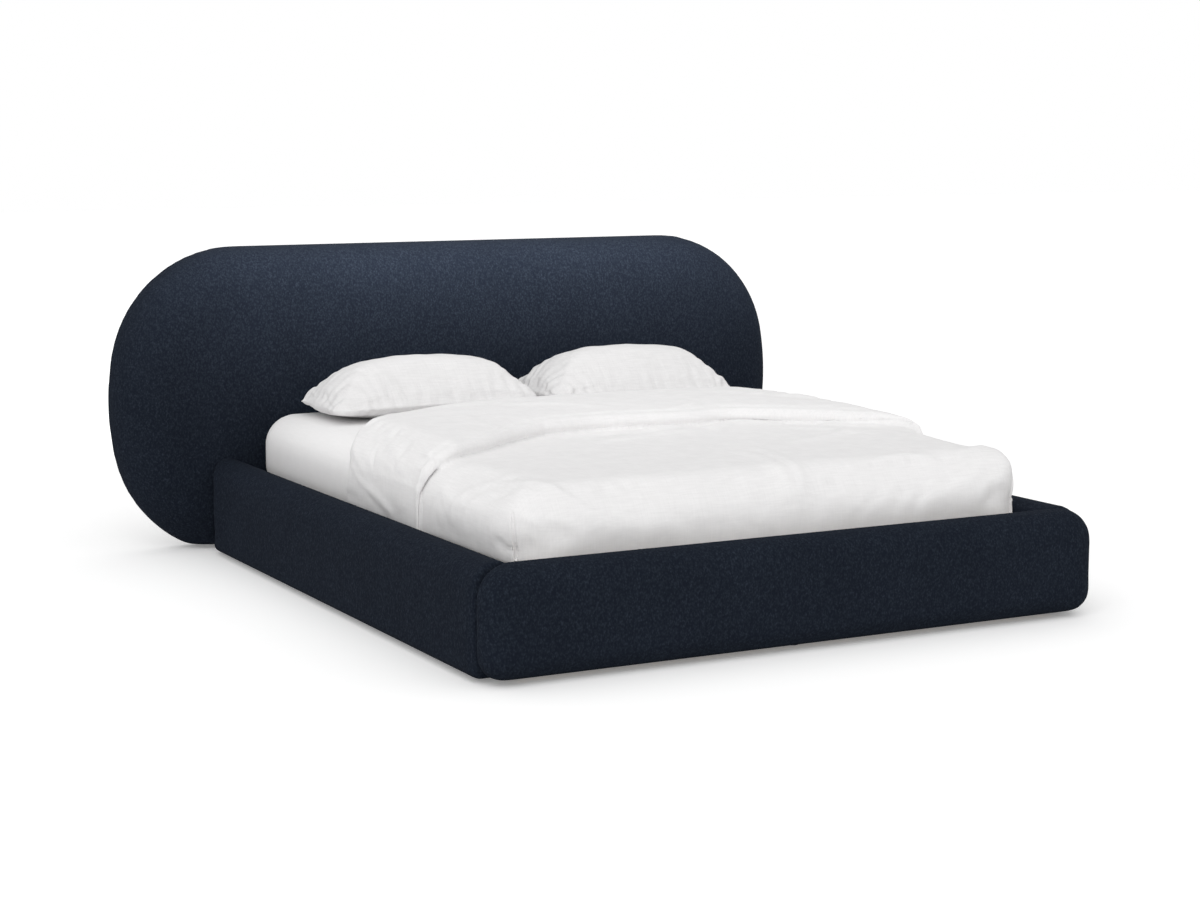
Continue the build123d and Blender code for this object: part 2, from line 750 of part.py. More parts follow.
# Stop bar at the head end of the platform: a bent rod welded on the head tube
stop_y = mattress_head_y + stop_gap + stop_radius
stop_foot_z = tube_top_z + stop_radius
stop_top_z = stop_foot_z + stop_rise
stop_root_y = frame_head_y - tube_size
with BuildPart() as mattress_stop:
    with BuildLine() as stop_path:
        FilletPolyline((-stop_width / 2, stop_root_y, stop_foot_z), (-stop_width / 2, stop_y, stop_foot_z),
                       (-stop_width / 2, stop_y, stop_top_z), (stop_width / 2, stop_y, stop_top_z),
                       (stop_width / 2, stop_y, stop_foot_z), (stop_width / 2, stop_root_y, stop_foot_z),
                       radius=stop_bend)
    with BuildSketch(Plane(origin=(-stop_width / 2, stop_root_y, stop_foot_z), z_dir=(0, 1, 0))):
        Circle(stop_radius)
    sweep()
save(mattress_stop, "mattress_stop")

# Pull strap: a flat loop that hangs round the foot tube
strap_y = (frame_foot_y - seat_gap, frame_foot_y + tube_size + seat_gap)
strap_z = (tube_bottom_z - strap_drop, tube_top_z + seat_gap)
strap_inner_width = strap_y[1] - strap_y[0]
strap_inner_height = strap_z[1] - strap_z[0]
strap_centre = (sum(strap_y) / 2, sum(strap_z) / 2)
with BuildPart() as pull_strap:
    with BuildSketch(Plane.YZ.offset(strap_offset - strap_width / 2)) as strap_outside:
        with Locations(strap_centre):
            Rectangle(strap_inner_width + 2 * strap_thickness, strap_inner_height + 2 * strap_thickness)
        fillet(strap_outside.vertices().group_by(Axis.Y)[0], strap_bend + strap_thickness)
        fillet(strap_outside.vertices().group_by(Axis.Y)[-1], strap_thickness)
    extrude(amount=strap_width)
    with BuildSketch(Plane.YZ.offset(strap_offset - strap_width / 2)) as strap_inside:
        with Locations(strap_centre):
            Rectangle(strap_inner_width, strap_inner_height)
        fillet(strap_inside.vertices().group_by(Axis.Y)[0], strap_bend)
    extrude(amount=strap_width, mode=Mode.SUBTRACT)
save(pull_strap, "pull_strap")

# Gas springs: the cylinder turns on the plate's stud and the rod on the lug's stud
reach_y = (upper_stud_y - lower_stud_y) / closed_length
reach_z = (upper_stud_z - lower_stud_z) / closed_length
cylinder_plane = Plane(origin=(-spring_x, lower_stud_y, lower_stud_z), x_dir=(1, 0, 0),
                       z_dir=(0, reach_y, reach_z))
rod_plane = Plane(origin=(-spring_x, upper_stud_y, upper_stud_z), x_dir=(1, 0, 0),
                  z_dir=(0, -reach_y, -reach_z))
stud_bore = stud_radius + pin_clearance
eye_wall_middle = (stud_bore + eye_radius) / 2


def spring_eye(mode=Mode.ADD):
    """Add the eye at the end of a spring, or cut its bore."""
    radius = eye_radius if mode == Mode.ADD else stud_bore
    with Locations(Location((0, 0, 0), (0, 90, 0))):
        Cylinder(radius, eye_thickness, mode=mode)


def spring_length(start, end, radius, mode=Mode.ADD):
    """Add or cut a round length between two distances from a spring's eye."""
    with Locations((0, 0, start)):
        Cylinder(radius, end - start, align=(Align.CENTER, Align.CENTER, Align.MIN), mode=mode)


with BuildPart(cylinder_plane) as left_gas_cylinder:
    spring_eye()
    spring_length(eye_wall_middle, cylinder_foot + cylinder_wall, neck_radius)
    spring_length(cylinder_foot, cylinder_length, cylinder_radius)
    spring_length(cavity_start, cavity_end, cavity_radius, mode=Mode.SUBTRACT)
    spring_length(cavity_end - cut_overrun, cylinder_length + cut_overrun, rod_radius + pin_clearance,
                  mode=Mode.SUBTRACT)
    spring_eye(mode=Mode.SUBTRACT)
save(left_gas_cylinder, "left_gas_cylinder")
save_mirrored(left_gas_cylinder, "right_gas_cylinder")

with BuildPart(rod_plane) as left_gas_rod:
    spring_eye()
    spring_length(eye_wall_middle, rod_length, rod_radius)
    spring_length(rod_length - piston_length, rod_length, cavity_radius - piston_gap)
    spring_eye(mode=Mode.SUBTRACT)
save(left_gas_rod, "left_gas_rod")
save_mirrored(left_gas_rod, "right_gas_rod")

# Mattress, and the fitted sheet over its top and sides
sheet_outer = mattress_shape(0, 0, mattress_bottom_z + sheet_hem_rise)
sheet_inner = mattress_shape(-sheet_thickness, -sheet_thickness, mattress_bottom_z)
mattress_core = mattress_shape(-sheet_thickness - seat_gap, -sheet_thickness - seat_gap,
                               mattress_bottom_z)

with BuildPart() as mattress:
    add(mattress_core)
    fillet(mattress.faces().sort_by(Axis.Z)[0].edges(), mattress_bottom_radius)
save(mattress, "mattress")

with BuildPart() as fitted_sheet:
    add(sheet_outer)
    add(sheet_inner, mode=Mode.SUBTRACT)
save(fitted_sheet, "fitted_sheet")

# Duvet: the body layer goes over the mattress and down its sides and foot. The head end is folded
# back on it, and is lofted from side to side through sections with a rolled edge at each end.
duvet_bottom_z = mattress_bottom_z + duvet_hem_rise
duvet_growth = seat_gap + duvet_thickness
duvet_outer = mattress_shape(duvet_growth, duvet_growth, duvet_bottom_z)
duvet_inner = mattress_shape(seat_gap, seat_gap, duvet_bottom_z - cut_overrun)
duvet_top_z = mattress_top_z + duvet_growth
flap_half_width = mattress_side + duvet_growth + flap_side
flap_shoulder = mattress_top_radius + duvet_growth + flap_side

body_end_y = mattress_foot_y + body_end_share * mattress_length
with BuildPart() as duvet_body:
    add(duvet_outer)
    split(bisect_by=Plane.XZ.offset(-body_end_y), keep=Keep.TOP)

with BuildPart() as duvet:
    for across_share, flap_share, fold_share in flap_station_shares:
        station_x = across_share * flap_half_width
        past_shoulder = max(0, abs(station_x) - (flap_half_width - flap_shoulder))
        drop = flap_shoulder - sqrt(max(0, flap_shoulder ** 2 - past_shoulder ** 2))
        top_z = duvet_top_z + flap_rise - drop
        edge_y = mattress_foot_y + flap_share * mattress_length
        fold_y = mattress_foot_y + fold_share * mattress_length
        with BuildSketch(Plane.YZ.offset(station_x)):
            with BuildLine():
                Line((fold_y, duvet_bottom_z), (edge_y, duvet_bottom_z))
                Line((edge_y, duvet_bottom_z), (edge_y, top_z - flap_edge_roll))
                CenterArc((edge_y + flap_edge_roll, top_z - flap_edge_roll), flap_edge_roll, 90, 90)
                ThreePointArc((edge_y + flap_edge_roll, top_z),
                              ((edge_y + fold_y) / 2, top_z + flap_crown),
                              (fold_y - flap_fold_roll, top_z))
                CenterArc((fold_y - flap_fold_roll, top_z - flap_fold_roll), flap_fold_roll, 0, 90)
                Line((fold_y, top_z - flap_fold_roll), (fold_y, duvet_bottom_z))
            make_face()
    loft(ruled=True)
    add(duvet_body.part)
    add(duvet_inner, mode=Mode.SUBTRACT)
save(duvet, "duvet")

# Pillows: lens sections from end to end, full in the middle and drawn in towards the ends
pillow_middle_y = mattress_head_y - pillow_head_gap - pillow_depth / 2
pillow_seam_z = mattress_top_z + seat_gap + pillow_seam_share * pillow_height


def pillow(label, centre_x, width):
    """Loft one pillow through sections across its length."""
    with BuildPart() as piece:
        for station_share, height_share, depth_share in pillow_station_shares:
            half_depth = depth_share * pillow_depth / 2
            crown = height_share * (1 - pillow_seam_share) * pillow_height
            belly = height_share * pillow_seam_share * pillow_height
            with BuildSketch(Plane.YZ.offset(centre_x + station_share * width / 2)):
                with BuildLine():
                    front = (pillow_middle_y - half_depth, pillow_seam_z)
                    back = (pillow_middle_y + half_depth, pillow_seam_z)
                    ThreePointArc(front, (pillow_middle_y, pillow_seam_z + crown), back)
                    ThreePointArc(back, (pillow_middle_y, pillow_seam_z - belly), front)
                make_face()
        loft()
    save(piece, label)
    return piece


pillow("left_pillow", left_pillow_centre, left_pillow_width)
pillow("right_pillow", right_pillow_centre, right_pillow_width)
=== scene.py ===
"""An upholstered storage bed: a low padded base with a pill-shaped headboard, and a made-up mattress
on a slatted platform that lifts at its foot on two gas springs."""
from __future__ import annotations

import logging
import math
from contextlib import contextmanager
from dataclasses import dataclass, replace
from enum import Enum
from typing import Callable, Iterator, Optional, Sequence, Union

import bmesh
import bpy
import numpy as np
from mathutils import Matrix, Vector, noise
from mathutils.bvhtree import BVHTree

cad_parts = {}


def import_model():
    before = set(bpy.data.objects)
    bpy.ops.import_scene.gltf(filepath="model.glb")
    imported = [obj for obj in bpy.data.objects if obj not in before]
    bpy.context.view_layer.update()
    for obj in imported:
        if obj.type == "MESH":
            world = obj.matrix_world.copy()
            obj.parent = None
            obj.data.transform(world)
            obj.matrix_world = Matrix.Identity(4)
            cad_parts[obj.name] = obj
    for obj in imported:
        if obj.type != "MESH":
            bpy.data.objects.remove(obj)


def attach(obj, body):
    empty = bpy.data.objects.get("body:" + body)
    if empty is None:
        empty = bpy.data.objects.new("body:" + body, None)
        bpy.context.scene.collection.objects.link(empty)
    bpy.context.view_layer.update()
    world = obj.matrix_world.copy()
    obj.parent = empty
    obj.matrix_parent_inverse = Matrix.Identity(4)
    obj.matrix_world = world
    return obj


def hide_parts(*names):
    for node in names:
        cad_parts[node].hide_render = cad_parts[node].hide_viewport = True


log = logging.getLogger("storage_bed")

MM = 0.001
BASE = "base"
PLATFORM = "platform"

Points = np.ndarray
Mask = np.ndarray
Object = bpy.types.Object
Tree = bpy.types.NodeTree
Node = bpy.types.Node
Socket = bpy.types.NodeSocket
Spot = tuple[float, float, float]
Line = Union[np.ndarray, Sequence[Spot]]
Colour = tuple[float, float, float, float]


class Along(Enum):
    """The axis that a grain, a ply or a thread runs along."""

    X = 0
    Y = 1
    Z = 2

    def scale(self, share: float) -> Spot:
        """Return a scale that is less than 1 along the axis, which draws a pattern out along it."""
        return tuple(share if axis is self else 1.0 for axis in Along)


# Mesh work

def deselect() -> None:
    """Deselect every object."""
    for item in bpy.context.selected_objects:
        item.select_set(False)


def make_active(item: Object) -> None:
    """Select one object alone and make it active."""
    deselect()
    item.select_set(True)
    bpy.context.view_layer.objects.active = item


def apply_modifier(item: Object, kind: str, **settings: object) -> None:
    """Add a modifier to an object and apply it.

    Args:
        item: The object.
        kind: The modifier's type.
        settings: Its settings, by name.
    """
    make_active(item)
    modifier = item.modifiers.new(kind.title(), kind)
    for name, value in settings.items():
        setattr(modifier, name, value)
    bpy.ops.object.modifier_apply(modifier=modifier.name)


@contextmanager
def editing(item: Object) -> Iterator[bmesh.types.BMesh]:
    """Open an object's mesh for editing, and write it back afterwards."""
    work = bmesh.new()
    work.from_mesh(item.data)
    yield work
    work.to_mesh(item.data)
    work.free()


def surface_tree(item: Object) -> BVHTree:
    """Return a tree that finds the nearest point of a surface.

    Args:
        item: The object that has the surface.

    Returns:
        The tree.
    """
    work = bmesh.new()
    work.from_mesh(item.data)
    tree = BVHTree.FromBMesh(work)
    work.free()
    return tree


def add_object(name: str, data: bpy.types.ID) -> Object:
    """Add an object with its data to the scene."""
    item = bpy.data.objects.new(name, data)
    bpy.context.scene.collection.objects.link(item)
    return item


def remeshed(name: str, cell: float, *nodes: str) -> Object:
    """Copy some nodes into one skin of even square cells.

    Args:
        name: The new object's name.
        cell: The cell's side in metres.
        nodes: The nodes' names.

    Returns:
        The new object.
    """
    item = add_object(name, bpy.data.meshes.new(name))
    with editing(item) as joined:
        for node in nodes:
            joined.from_mesh(bpy.data.objects[node].data)
        bmesh.ops.remove_doubles(joined, verts=joined.verts, dist=0.01 * MM)
    apply_modifier(item, "REMESH", mode="VOXEL", voxel_size=cell, adaptivity=0.0)
    return item


def read_rows(items: bpy.types.bpy_prop_collection, field: str) -> Points:
    """Return a field of a mesh's elements as rows of x, y and z."""
    flat = np.empty(len(items) * 3, dtype=np.float32)
    items.foreach_get(field, flat)
    return flat.reshape(-1, 3).astype(np.float64)


def read_points(item: Object) -> Points:
    """Return an object's vertices as rows of x, y and z."""
    return read_rows(item.data.vertices, "co")


def read_normals(item: Object) -> Points:
    """Return the normals at an object's vertices."""
    return read_rows(item.data.vertex_normals, "vector")


def write_points(item: Object, points: Points) -> None:
    """Put an object's vertices at new places."""
    item.data.vertices.foreach_set("co", points.astype(np.float32).ravel())
    item.data.update()


def rise(item: Object, amount: Points) -> None:
    """Move each vertex along its normal by its own amount."""
    write_points(item, read_points(item) + read_normals(item) * amount[:, None])


def mark(item: Object, picked: Mask) -> str:
    """Put some of an object's vertices in a group of their own.

    Args:
        item: The object.
        picked: Which vertices are put in it.

    Returns:
        The group's name.
    """
    group = item.vertex_groups.new(name="picked")
    group.add([int(i) for i in np.nonzero(picked)[0]], 1.0, "REPLACE")
    return group.name


def relax(item: Object, rounds: int, where: Optional[Mask] = None) -> None:
    """Smooth an object's surface by moving each vertex half way to its neighbours' middle.

    Args:
        item: The object.
        rounds: How many times.
        where: Which vertices move, or None for all.
    """
    settings: dict[str, str] = {} if where is None else {"vertex_group": mark(item, where)}
    apply_modifier(item, "SMOOTH", factor=0.5, iterations=rounds, **settings)
    item.vertex_groups.clear()


def divide(item: Object, picked: Callable[[Points], Mask], rounds: int) -> None:
    """Divide an object's faces finely where a test picks their corners.

    Args:
        item: The object.
        picked: A test that takes the vertices' places and returns which it picks.
        rounds: How many times each edge is halved.
    """
    for _ in range(rounds):
        with editing(item) as work:
            near = picked(np.array([vert.co for vert in work.verts]))
            edges = [edge for edge in work.edges if all(near[vert.index] for vert in edge.verts)]
            bmesh.ops.subdivide_edges(work, edges=edges, cuts=1, use_grid_fill=True)


def cut_below(item: Object, height: float) -> None:
    """Cut off what lies below a height.

    Args:
        item: The object.
        height: The height in metres.
    """
    with editing(item) as work:
        everything = list(work.verts) + list(work.edges) + list(work.faces)
        bmesh.ops.bisect_plane(work, geom=everything, dist=0.1 * MM, plane_co=(0, 0, height),
                               plane_no=(0, 0, -1), clear_outer=True)


def even_rim(item: Object, rounds: int) -> None:
    """Straighten an object's open rims by moving each rim vertex towards its neighbours on the rim.

    Args:
        item: The object.
        rounds: How many times.
    """
    with editing(item) as work:
        for _ in range(rounds):
            moves = []
            for vert in work.verts:
                if not vert.is_boundary:
                    continue
                beside = [edge.other_vert(vert).co for edge in vert.link_edges if edge.is_boundary]
                if len(beside) == 2:
                    moves.append((vert, vert.co.lerp((beside[0] + beside[1]) / 2, 0.5)))
            for vert, place in moves:
                vert.co = place


def level_rim(item: Object, height: float, reach: float) -> None:
    """Bring an open rim back to one height.

    Args:
        item: The object.
        height: The rim's height in metres.
        reach: How far from that height a rim vertex may be and still be moved.
    """
    with editing(item) as work:
        for vert in work.verts:
            if vert.is_boundary and abs(vert.co.z - height) < reach:
                vert.co.z = height


def keep_largest(item: Object) -> None:
    """Delete all but the largest connected part of an object."""
    with editing(item) as work:
        seen: set[int] = set()
        parts = []
        for face in work.faces:
            if face.index in seen:
                continue
            part = []
            queue = [face]
            seen.add(face.index)
            while queue:
                here = queue.pop()
                part.append(here)
                for near in (other for edge in here.edges for other in edge.link_faces):
                    if near.index not in seen:
                        seen.add(near.index)
                        queue.append(near)
            parts.append(part)
        parts.sort(key=len)
        for part in parts[:-1]:
            bmesh.ops.delete(work, geom=part, context="FACES")


def shade_smooth(item: Object, limit: float = 60) -> None:
    """Shade an object smooth, apart from edges sharper than a limit in degrees."""
    make_active(item)
    bpy.ops.object.shade_smooth_by_angle(angle=math.radians(limit))


def noise_field(points: Points, size: float, seed: float, stretch: Spot = (1, 1, 1)) -> Points:
    """Return an even noise from about -1 to 1 at some points.

    Args:
        points: The points.
        size: The size of the noise's lumps in metres.
        seed: A shift that makes each use differ.
        stretch: How much longer the lumps are along each axis.

    Returns:
        The noise at each point.
    """
    scaled = points / size / np.array(stretch) + seed
    return np.array([noise.fractal(Vector(p), 1.0, 2.0, 2) for p in scaled])


def arc(centre: Sequence[float], radius: float, start: float, end: float, steps: int) -> Points:
    """Return the points of an arc.

    Args:
        centre: The two coordinates of its centre.
        radius: Its radius in metres.
        start: The angle of its first point, in radians.
        end: The angle of its last point.
        steps: How many steps lie between them.

    Returns:
        Rows of two coordinates.
    """
    angles = np.linspace(start, end, steps + 1)
    return np.array(centre) + radius * np.column_stack([np.cos(angles), np.sin(angles)])


def smooth_step(value: Points, low: float, high: float) -> Points:
    """Return 0 below low, 1 above high, and a soft change between them."""
    share = np.clip((value - low) / (high - low), 0, 1)
    return share * share * (3 - 2 * share)


@dataclass(frozen=True)
class ClothRun:
    """How a cover is blown up, so that it fills out and puckers as sewn cloth does."""

    pressure: float = 4.0
    shrink: float = 0.0
    tension: float = 15.0
    bending: float = 0.5
    cap: float = 6 * MM
    frames: int = 20

    def blow(self, item: Object, held: Mask, ease: Union[Points, float] = 1.0) -> None:
        """Run the cloth on an object, and keep each vertex within the cap.

        Args:
            item: The object.
            held: Which vertices stay where they are.
            ease: The share of its move that each vertex keeps, from 0 to 1.
        """
        before = read_points(item)
        make_active(item)
        modifier = item.modifiers.new("Cloth", "CLOTH")
        cloth = modifier.settings
        cloth.quality = 4
        cloth.mass = 0.3
        cloth.tension_stiffness = self.tension
        cloth.compression_stiffness = self.tension
        cloth.bending_stiffness = self.bending
        cloth.shrink_min = self.shrink
        cloth.shrink_max = self.shrink
        cloth.use_pressure = True
        cloth.uniform_pressure_force = self.pressure
        cloth.effector_weights.gravity = 0
        modifier.collision_settings.use_collision = False
        cloth.vertex_group_mass = mark(item, held)
        scene = bpy.context.scene
        for frame in range(1, self.frames + 1):
            scene.frame_set(frame)
        bpy.ops.object.modifier_apply(modifier=modifier.name)
        scene.frame_set(1)
        item.vertex_groups.clear()
        step = read_points(item) - before
        length = np.linalg.norm(step, axis=1)
        scale = np.minimum(1, self.cap / np.maximum(length, 1e-9)) * ease
        write_points(item, before + step * scale[:, None])


# Finishes

def linear(code: str) -> Colour:
    """Turn an sRGB hex colour into the linear colour that a shader reads.

    Args:
        code: Six hex digits after a hash.

    Returns:
        Red, green, blue and 1.
    """
    parts = [int(code[i:i + 2], 16) / 255 for i in (1, 3, 5)]
    line = [part / 12.92 if part <= 0.04045 else ((part + 0.055) / 1.055) ** 2.4 for part in parts]
    return (*line, 1.0)


def add_node(tree: Tree, kind: str, settings: Optional[dict] = None,
             links: Optional[dict] = None) -> Node:
    """Add a shader node with its settings and its links.

    Args:
        tree: The material's node tree.
        kind: The node's type.
        settings: Properties and input values by name, or input values by number.
        links: Output sockets by the name or number of the input that they feed.

    Returns:
        The node.
    """
    node = tree.nodes.new(kind)
    for name, value in (settings or {}).items():
        if isinstance(name, int) or not hasattr(node, name):
            node.inputs[name].default_value = value
        else:
            setattr(node, name, value)
    for name, source in (links or {}).items():
        tree.links.new(source, node.inputs[name])
    return node


def ramp(tree: Tree, source: Socket, stops: list[tuple[float, str]]) -> Socket:
    """Turn a value into a colour through colour stops.

    Args:
        tree: The material's node tree.
        source: The value's socket.
        stops: Places from 0 to 1, each with its hex colour.

    Returns:
        The colour's socket.
    """
    node = add_node(tree, "ShaderNodeValToRGB", links={"Fac": source})
    elements = node.color_ramp.elements
    while len(elements) < len(stops):
        elements.new(0.5)
    for element, (place, code) in zip(elements, stops):
        element.position = place
        element.color = linear(code)
    return node.outputs["Color"]


# A wave texture of scale 1 has its bands this far apart, in metres.
WAVE_BAND = math.tau / 20


@dataclass(frozen=True)
class Finish:
    """A material, by the name of the real one. Each kind of finish paints its own nodes."""

    name: str
    roughness: float = 0.8
    metallic: float = 0.0
    gloss: float = 0.5
    sheen: float = 0.0
    coat: float = 0.0

    def make(self) -> bpy.types.Material:
        """Make the material, or return it if it is there already."""
        known = bpy.data.materials.get(self.name)
        if known is not None:
            return known
        material = bpy.data.materials.new(self.name)
        material.use_nodes = True
        tree = material.node_tree
        shader = tree.nodes["Principled BSDF"]
        values = {"Roughness": self.roughness, "Metallic": self.metallic, "Sheen Weight": self.sheen,
                  "Specular IOR Level": self.gloss, "Coat Weight": self.coat, "Coat Roughness": 0.15}
        for name, value in values.items():
            shader.inputs[name].default_value = value
        self.paint(tree, shader)
        return material

    def paint(self, tree: Tree, shader: Node) -> None:
        """Add the finish's colour and relief to the shader."""

    @staticmethod
    def place(tree: Tree, scale: Spot = (1, 1, 1), turn: Spot = (0, 0, 0)) -> Socket:
        """Return the surface's place in metres, scaled and turned."""
        where = add_node(tree, "ShaderNodeTexCoord")
        return add_node(tree, "ShaderNodeMapping", {"Scale": scale, "Rotation": turn},
                        {"Vector": where.outputs["Object"]}).outputs["Vector"]

    @staticmethod
    def tint(tree: Tree, shader: Node, value: Socket, stops: list[tuple[float, str]]) -> None:
        """Colour the shader by a value, through colour stops."""
        tree.links.new(ramp(tree, value, stops), shader.inputs["Base Color"])

    @staticmethod
    def emboss(tree: Tree, shader: Node, height: Socket, depth: float, strength: float = 1.0) -> None:
        """Give the shader a relief of a depth in metres."""
        bump = add_node(tree, "ShaderNodeBump", {"Strength": strength, "Distance": depth},
                        {"Height": height})
        tree.links.new(bump.outputs["Normal"], shader.inputs["Normal"])


@dataclass(frozen=True)
class Boucle(Finish):
    """Looped wool-blend cloth: small uneven loops, with painted shade in the gaps and painted light on
    their tips, and no shine. The loops are 3 to 4 mm across and are drawn at 5 mm, so that they show."""

    # The gap colour is painted shade between the loops, and the tip colour is painted light on their
    # tops; both follow the loops' relief.
    gap: str = "#191e28"
    body: str = "#20262f"
    lit_tip: str = "#2a303b"
    loop: float = 5 * MM

    def paint(self, tree: Tree, shader: Node) -> None:
        """Paint loops, with painted shade in their gaps and painted light on their tips, and the patches
        where the pile lies another way.
        """
        place = self.place(tree, (1, 1, 0.7))
        loops = add_node(tree, "ShaderNodeTexVoronoi",
                         {"feature": "SMOOTH_F1", "Scale": 1 / self.loop, "Smoothness": 0.6},
                         {"Vector": place})
        curl = add_node(tree, "ShaderNodeTexNoise",
                        {"Scale": 0.6 / self.loop, "Detail": 4.0, "Roughness": 0.7}, {"Vector": place})
        pile = add_node(tree, "ShaderNodeTexNoise", {"Scale": 7.0, "Detail": 3.0}, {"Vector": place})
        mixed = add_node(tree, "ShaderNodeMath", {"operation": "MULTIPLY_ADD", 1: -0.55},
                         {0: loops.outputs["Distance"], 2: curl.outputs["Fac"]})
        # Colour by the loops' relief: painted shade where it is low, painted light where it is high.
        colour = ramp(tree, mixed.outputs[0],
                      [(0.12, self.gap), (0.32, self.body), (0.52, self.lit_tip)])
        shade = add_node(tree, "ShaderNodeMapRange", {3: 0.86, 4: 1.12}, {0: pile.outputs["Fac"]})
        toned = add_node(tree, "ShaderNodeHueSaturation", {},
                         {"Value": shade.outputs[0], "Color": colour})
        tree.links.new(toned.outputs["Color"], shader.inputs["Base Color"])
        self.emboss(tree, shader, mixed.outputs[0], 2.5 * MM, 0.6)


@dataclass(frozen=True)
class WovenCotton(Finish):
    """Washed cotton bed linen: a matt white with a faint slubby weave and soft creases. The threads
    are 0.3 mm apart and are drawn at 3 mm, so that they show."""

    warp: str = "#f4f3f3"
    weft: str = "#ecebeb"
    thread: float = 3 * MM
    crease: float = 60 * MM
    crease_depth: float = 4 * MM

    def paint(self, tree: Tree, shader: Node) -> None:
        """Paint the crossing threads, thicker slubs and the creases left by folding and sleep."""
        heights = []
        for stretch in ((1, 0.06, 0.06), (0.06, 1, 0.06), (0.06, 0.06, 1)):
            place = self.place(tree, stretch)
            slub = add_node(tree, "ShaderNodeTexNoise", {"Scale": 1 / self.thread, "Detail": 3.0},
                            {"Vector": place})
            heights.append(slub.outputs["Fac"])
        pair = add_node(tree, "ShaderNodeMath", {"operation": "ADD"}, {0: heights[0], 1: heights[1]})
        threads = add_node(tree, "ShaderNodeMath", {"operation": "ADD"},
                           {0: pair.outputs[0], 1: heights[2]})
        level = add_node(tree, "ShaderNodeMapRange", {1: 1.1, 2: 1.9}, {0: threads.outputs[0]})
        self.tint(tree, shader, level.outputs[0], [(0.0, self.weft), (1.0, self.warp)])
        folds = add_node(tree, "ShaderNodeTexNoise",
                         {"Scale": 1 / self.crease, "Detail": 3.0, "Roughness": 0.55, "Distortion": 0.6},
                         {"Vector": self.place(tree)})
        soft = add_node(tree, "ShaderNodeBump", {"Strength": 0.5, "Distance": self.crease_depth},
                        {"Height": folds.outputs["Fac"]})
        fine = add_node(tree, "ShaderNodeBump", {"Strength": 0.2, "Distance": 0.5 * MM},
                        {"Height": threads.outputs[0], "Normal": soft.outputs["Normal"]})
        tree.links.new(fine.outputs["Normal"], shader.inputs["Normal"])


@dataclass(frozen=True)
class QuiltedTicking(Finish):
    """Knitted mattress cover over thin wadding: off-white, stitched in diamonds 90 mm apart."""

    face: str = "#e9e6df"
    stitch: str = "#c9c5bb"
    pitch: float = 90 * MM

    def paint(self, tree: Tree, shader: Node) -> None:
        """Paint the stitched diamonds and the knit between them."""
        ridges = []
        for turn in (math.radians(45), math.radians(-45)):
            place = self.place(tree, (1, 1, 0.001), (0, 0, turn))
            wave = add_node(tree, "ShaderNodeTexWave",
                            {"wave_type": "BANDS", "bands_direction": "X",
                             "Scale": WAVE_BAND / self.pitch},
                            {"Vector": place})
            ridges.append(wave.outputs["Fac"])
        puffs = add_node(tree, "ShaderNodeMath", {"operation": "MINIMUM"},
                         {0: ridges[0], 1: ridges[1]})
        knit = add_node(tree, "ShaderNodeTexNoise", {"Scale": 1 / (2 * MM), "Detail": 2.0},
                        {"Vector": self.place(tree, (1, 0.4, 1))})
        self.tint(tree, shader, puffs.outputs[0], [(0.0, self.stitch), (0.12, self.face)])
        puffed = add_node(tree, "ShaderNodeMath", {"operation": "SQRT"}, {0: puffs.outputs[0]})
        height = add_node(tree, "ShaderNodeMath", {"operation": "MULTIPLY_ADD", 1: 0.05},
                          {0: knit.outputs["Fac"], 2: puffed.outputs[0]})
        self.emboss(tree, shader, height.outputs[0], 6 * MM)


@dataclass(frozen=True)
class SpunLining(Finish):
    """Spunbonded black lining cloth: dull, with rows of small pressed dots 3 mm apart."""

    cloth: str = "#17181b"
    dot: str = "#26282c"

    def paint(self, tree: Tree, shader: Node) -> None:
        """Paint the pressed dots and the fibres between them."""
        dots = add_node(tree, "ShaderNodeTexVoronoi", {"Scale": 1 / (3 * MM), "Randomness": 0.1},
                        {"Vector": self.place(tree)})
        fibres = add_node(tree, "ShaderNodeTexNoise", {"Scale": 1 / (8 * MM), "Detail": 5.0},
                          {"Vector": self.place(tree, (1, 1, 0.4))})
        level = add_node(tree, "ShaderNodeMath", {"operation": "MULTIPLY"},
                         {0: dots.outputs["Distance"], 1: fibres.outputs["Fac"]})
        self.tint(tree, shader, level.outputs[0], [(0.05, self.cloth), (0.45, self.dot)])
        self.emboss(tree, shader, level.outputs[0], 0.4 * MM)


@dataclass(frozen=True)
class Webbing(Finish):
    """Woven polyester webbing: dark, with ribs 2 mm apart across its width and a slight gloss."""

    groove: str = "#0f1114"
    rib: str = "#2e3137"

    def paint(self, tree: Tree, shader: Node) -> None:
        """Paint the ribs that run along the strap, and the threads that cross them."""
        ribs = add_node(tree, "ShaderNodeTexWave",
                        {"wave_type": "BANDS", "bands_direction": "X", "Scale": WAVE_BAND / (2 * MM)},
                        {"Vector": self.place(tree)})
        threads = add_node(tree, "ShaderNodeTexNoise", {"Scale": 1 / (1.5 * MM), "Detail": 2.0},
                           {"Vector": self.place(tree, (0.3, 1, 1))})
        level = add_node(tree, "ShaderNodeMath", {"operation": "MULTIPLY"},
                         {0: ribs.outputs["Fac"], 1: threads.outputs["Fac"]})
        self.tint(tree, shader, level.outputs[0], [(0.05, self.groove), (0.6, self.rib)])
        self.emboss(tree, shader, level.outputs[0], 0.5 * MM)


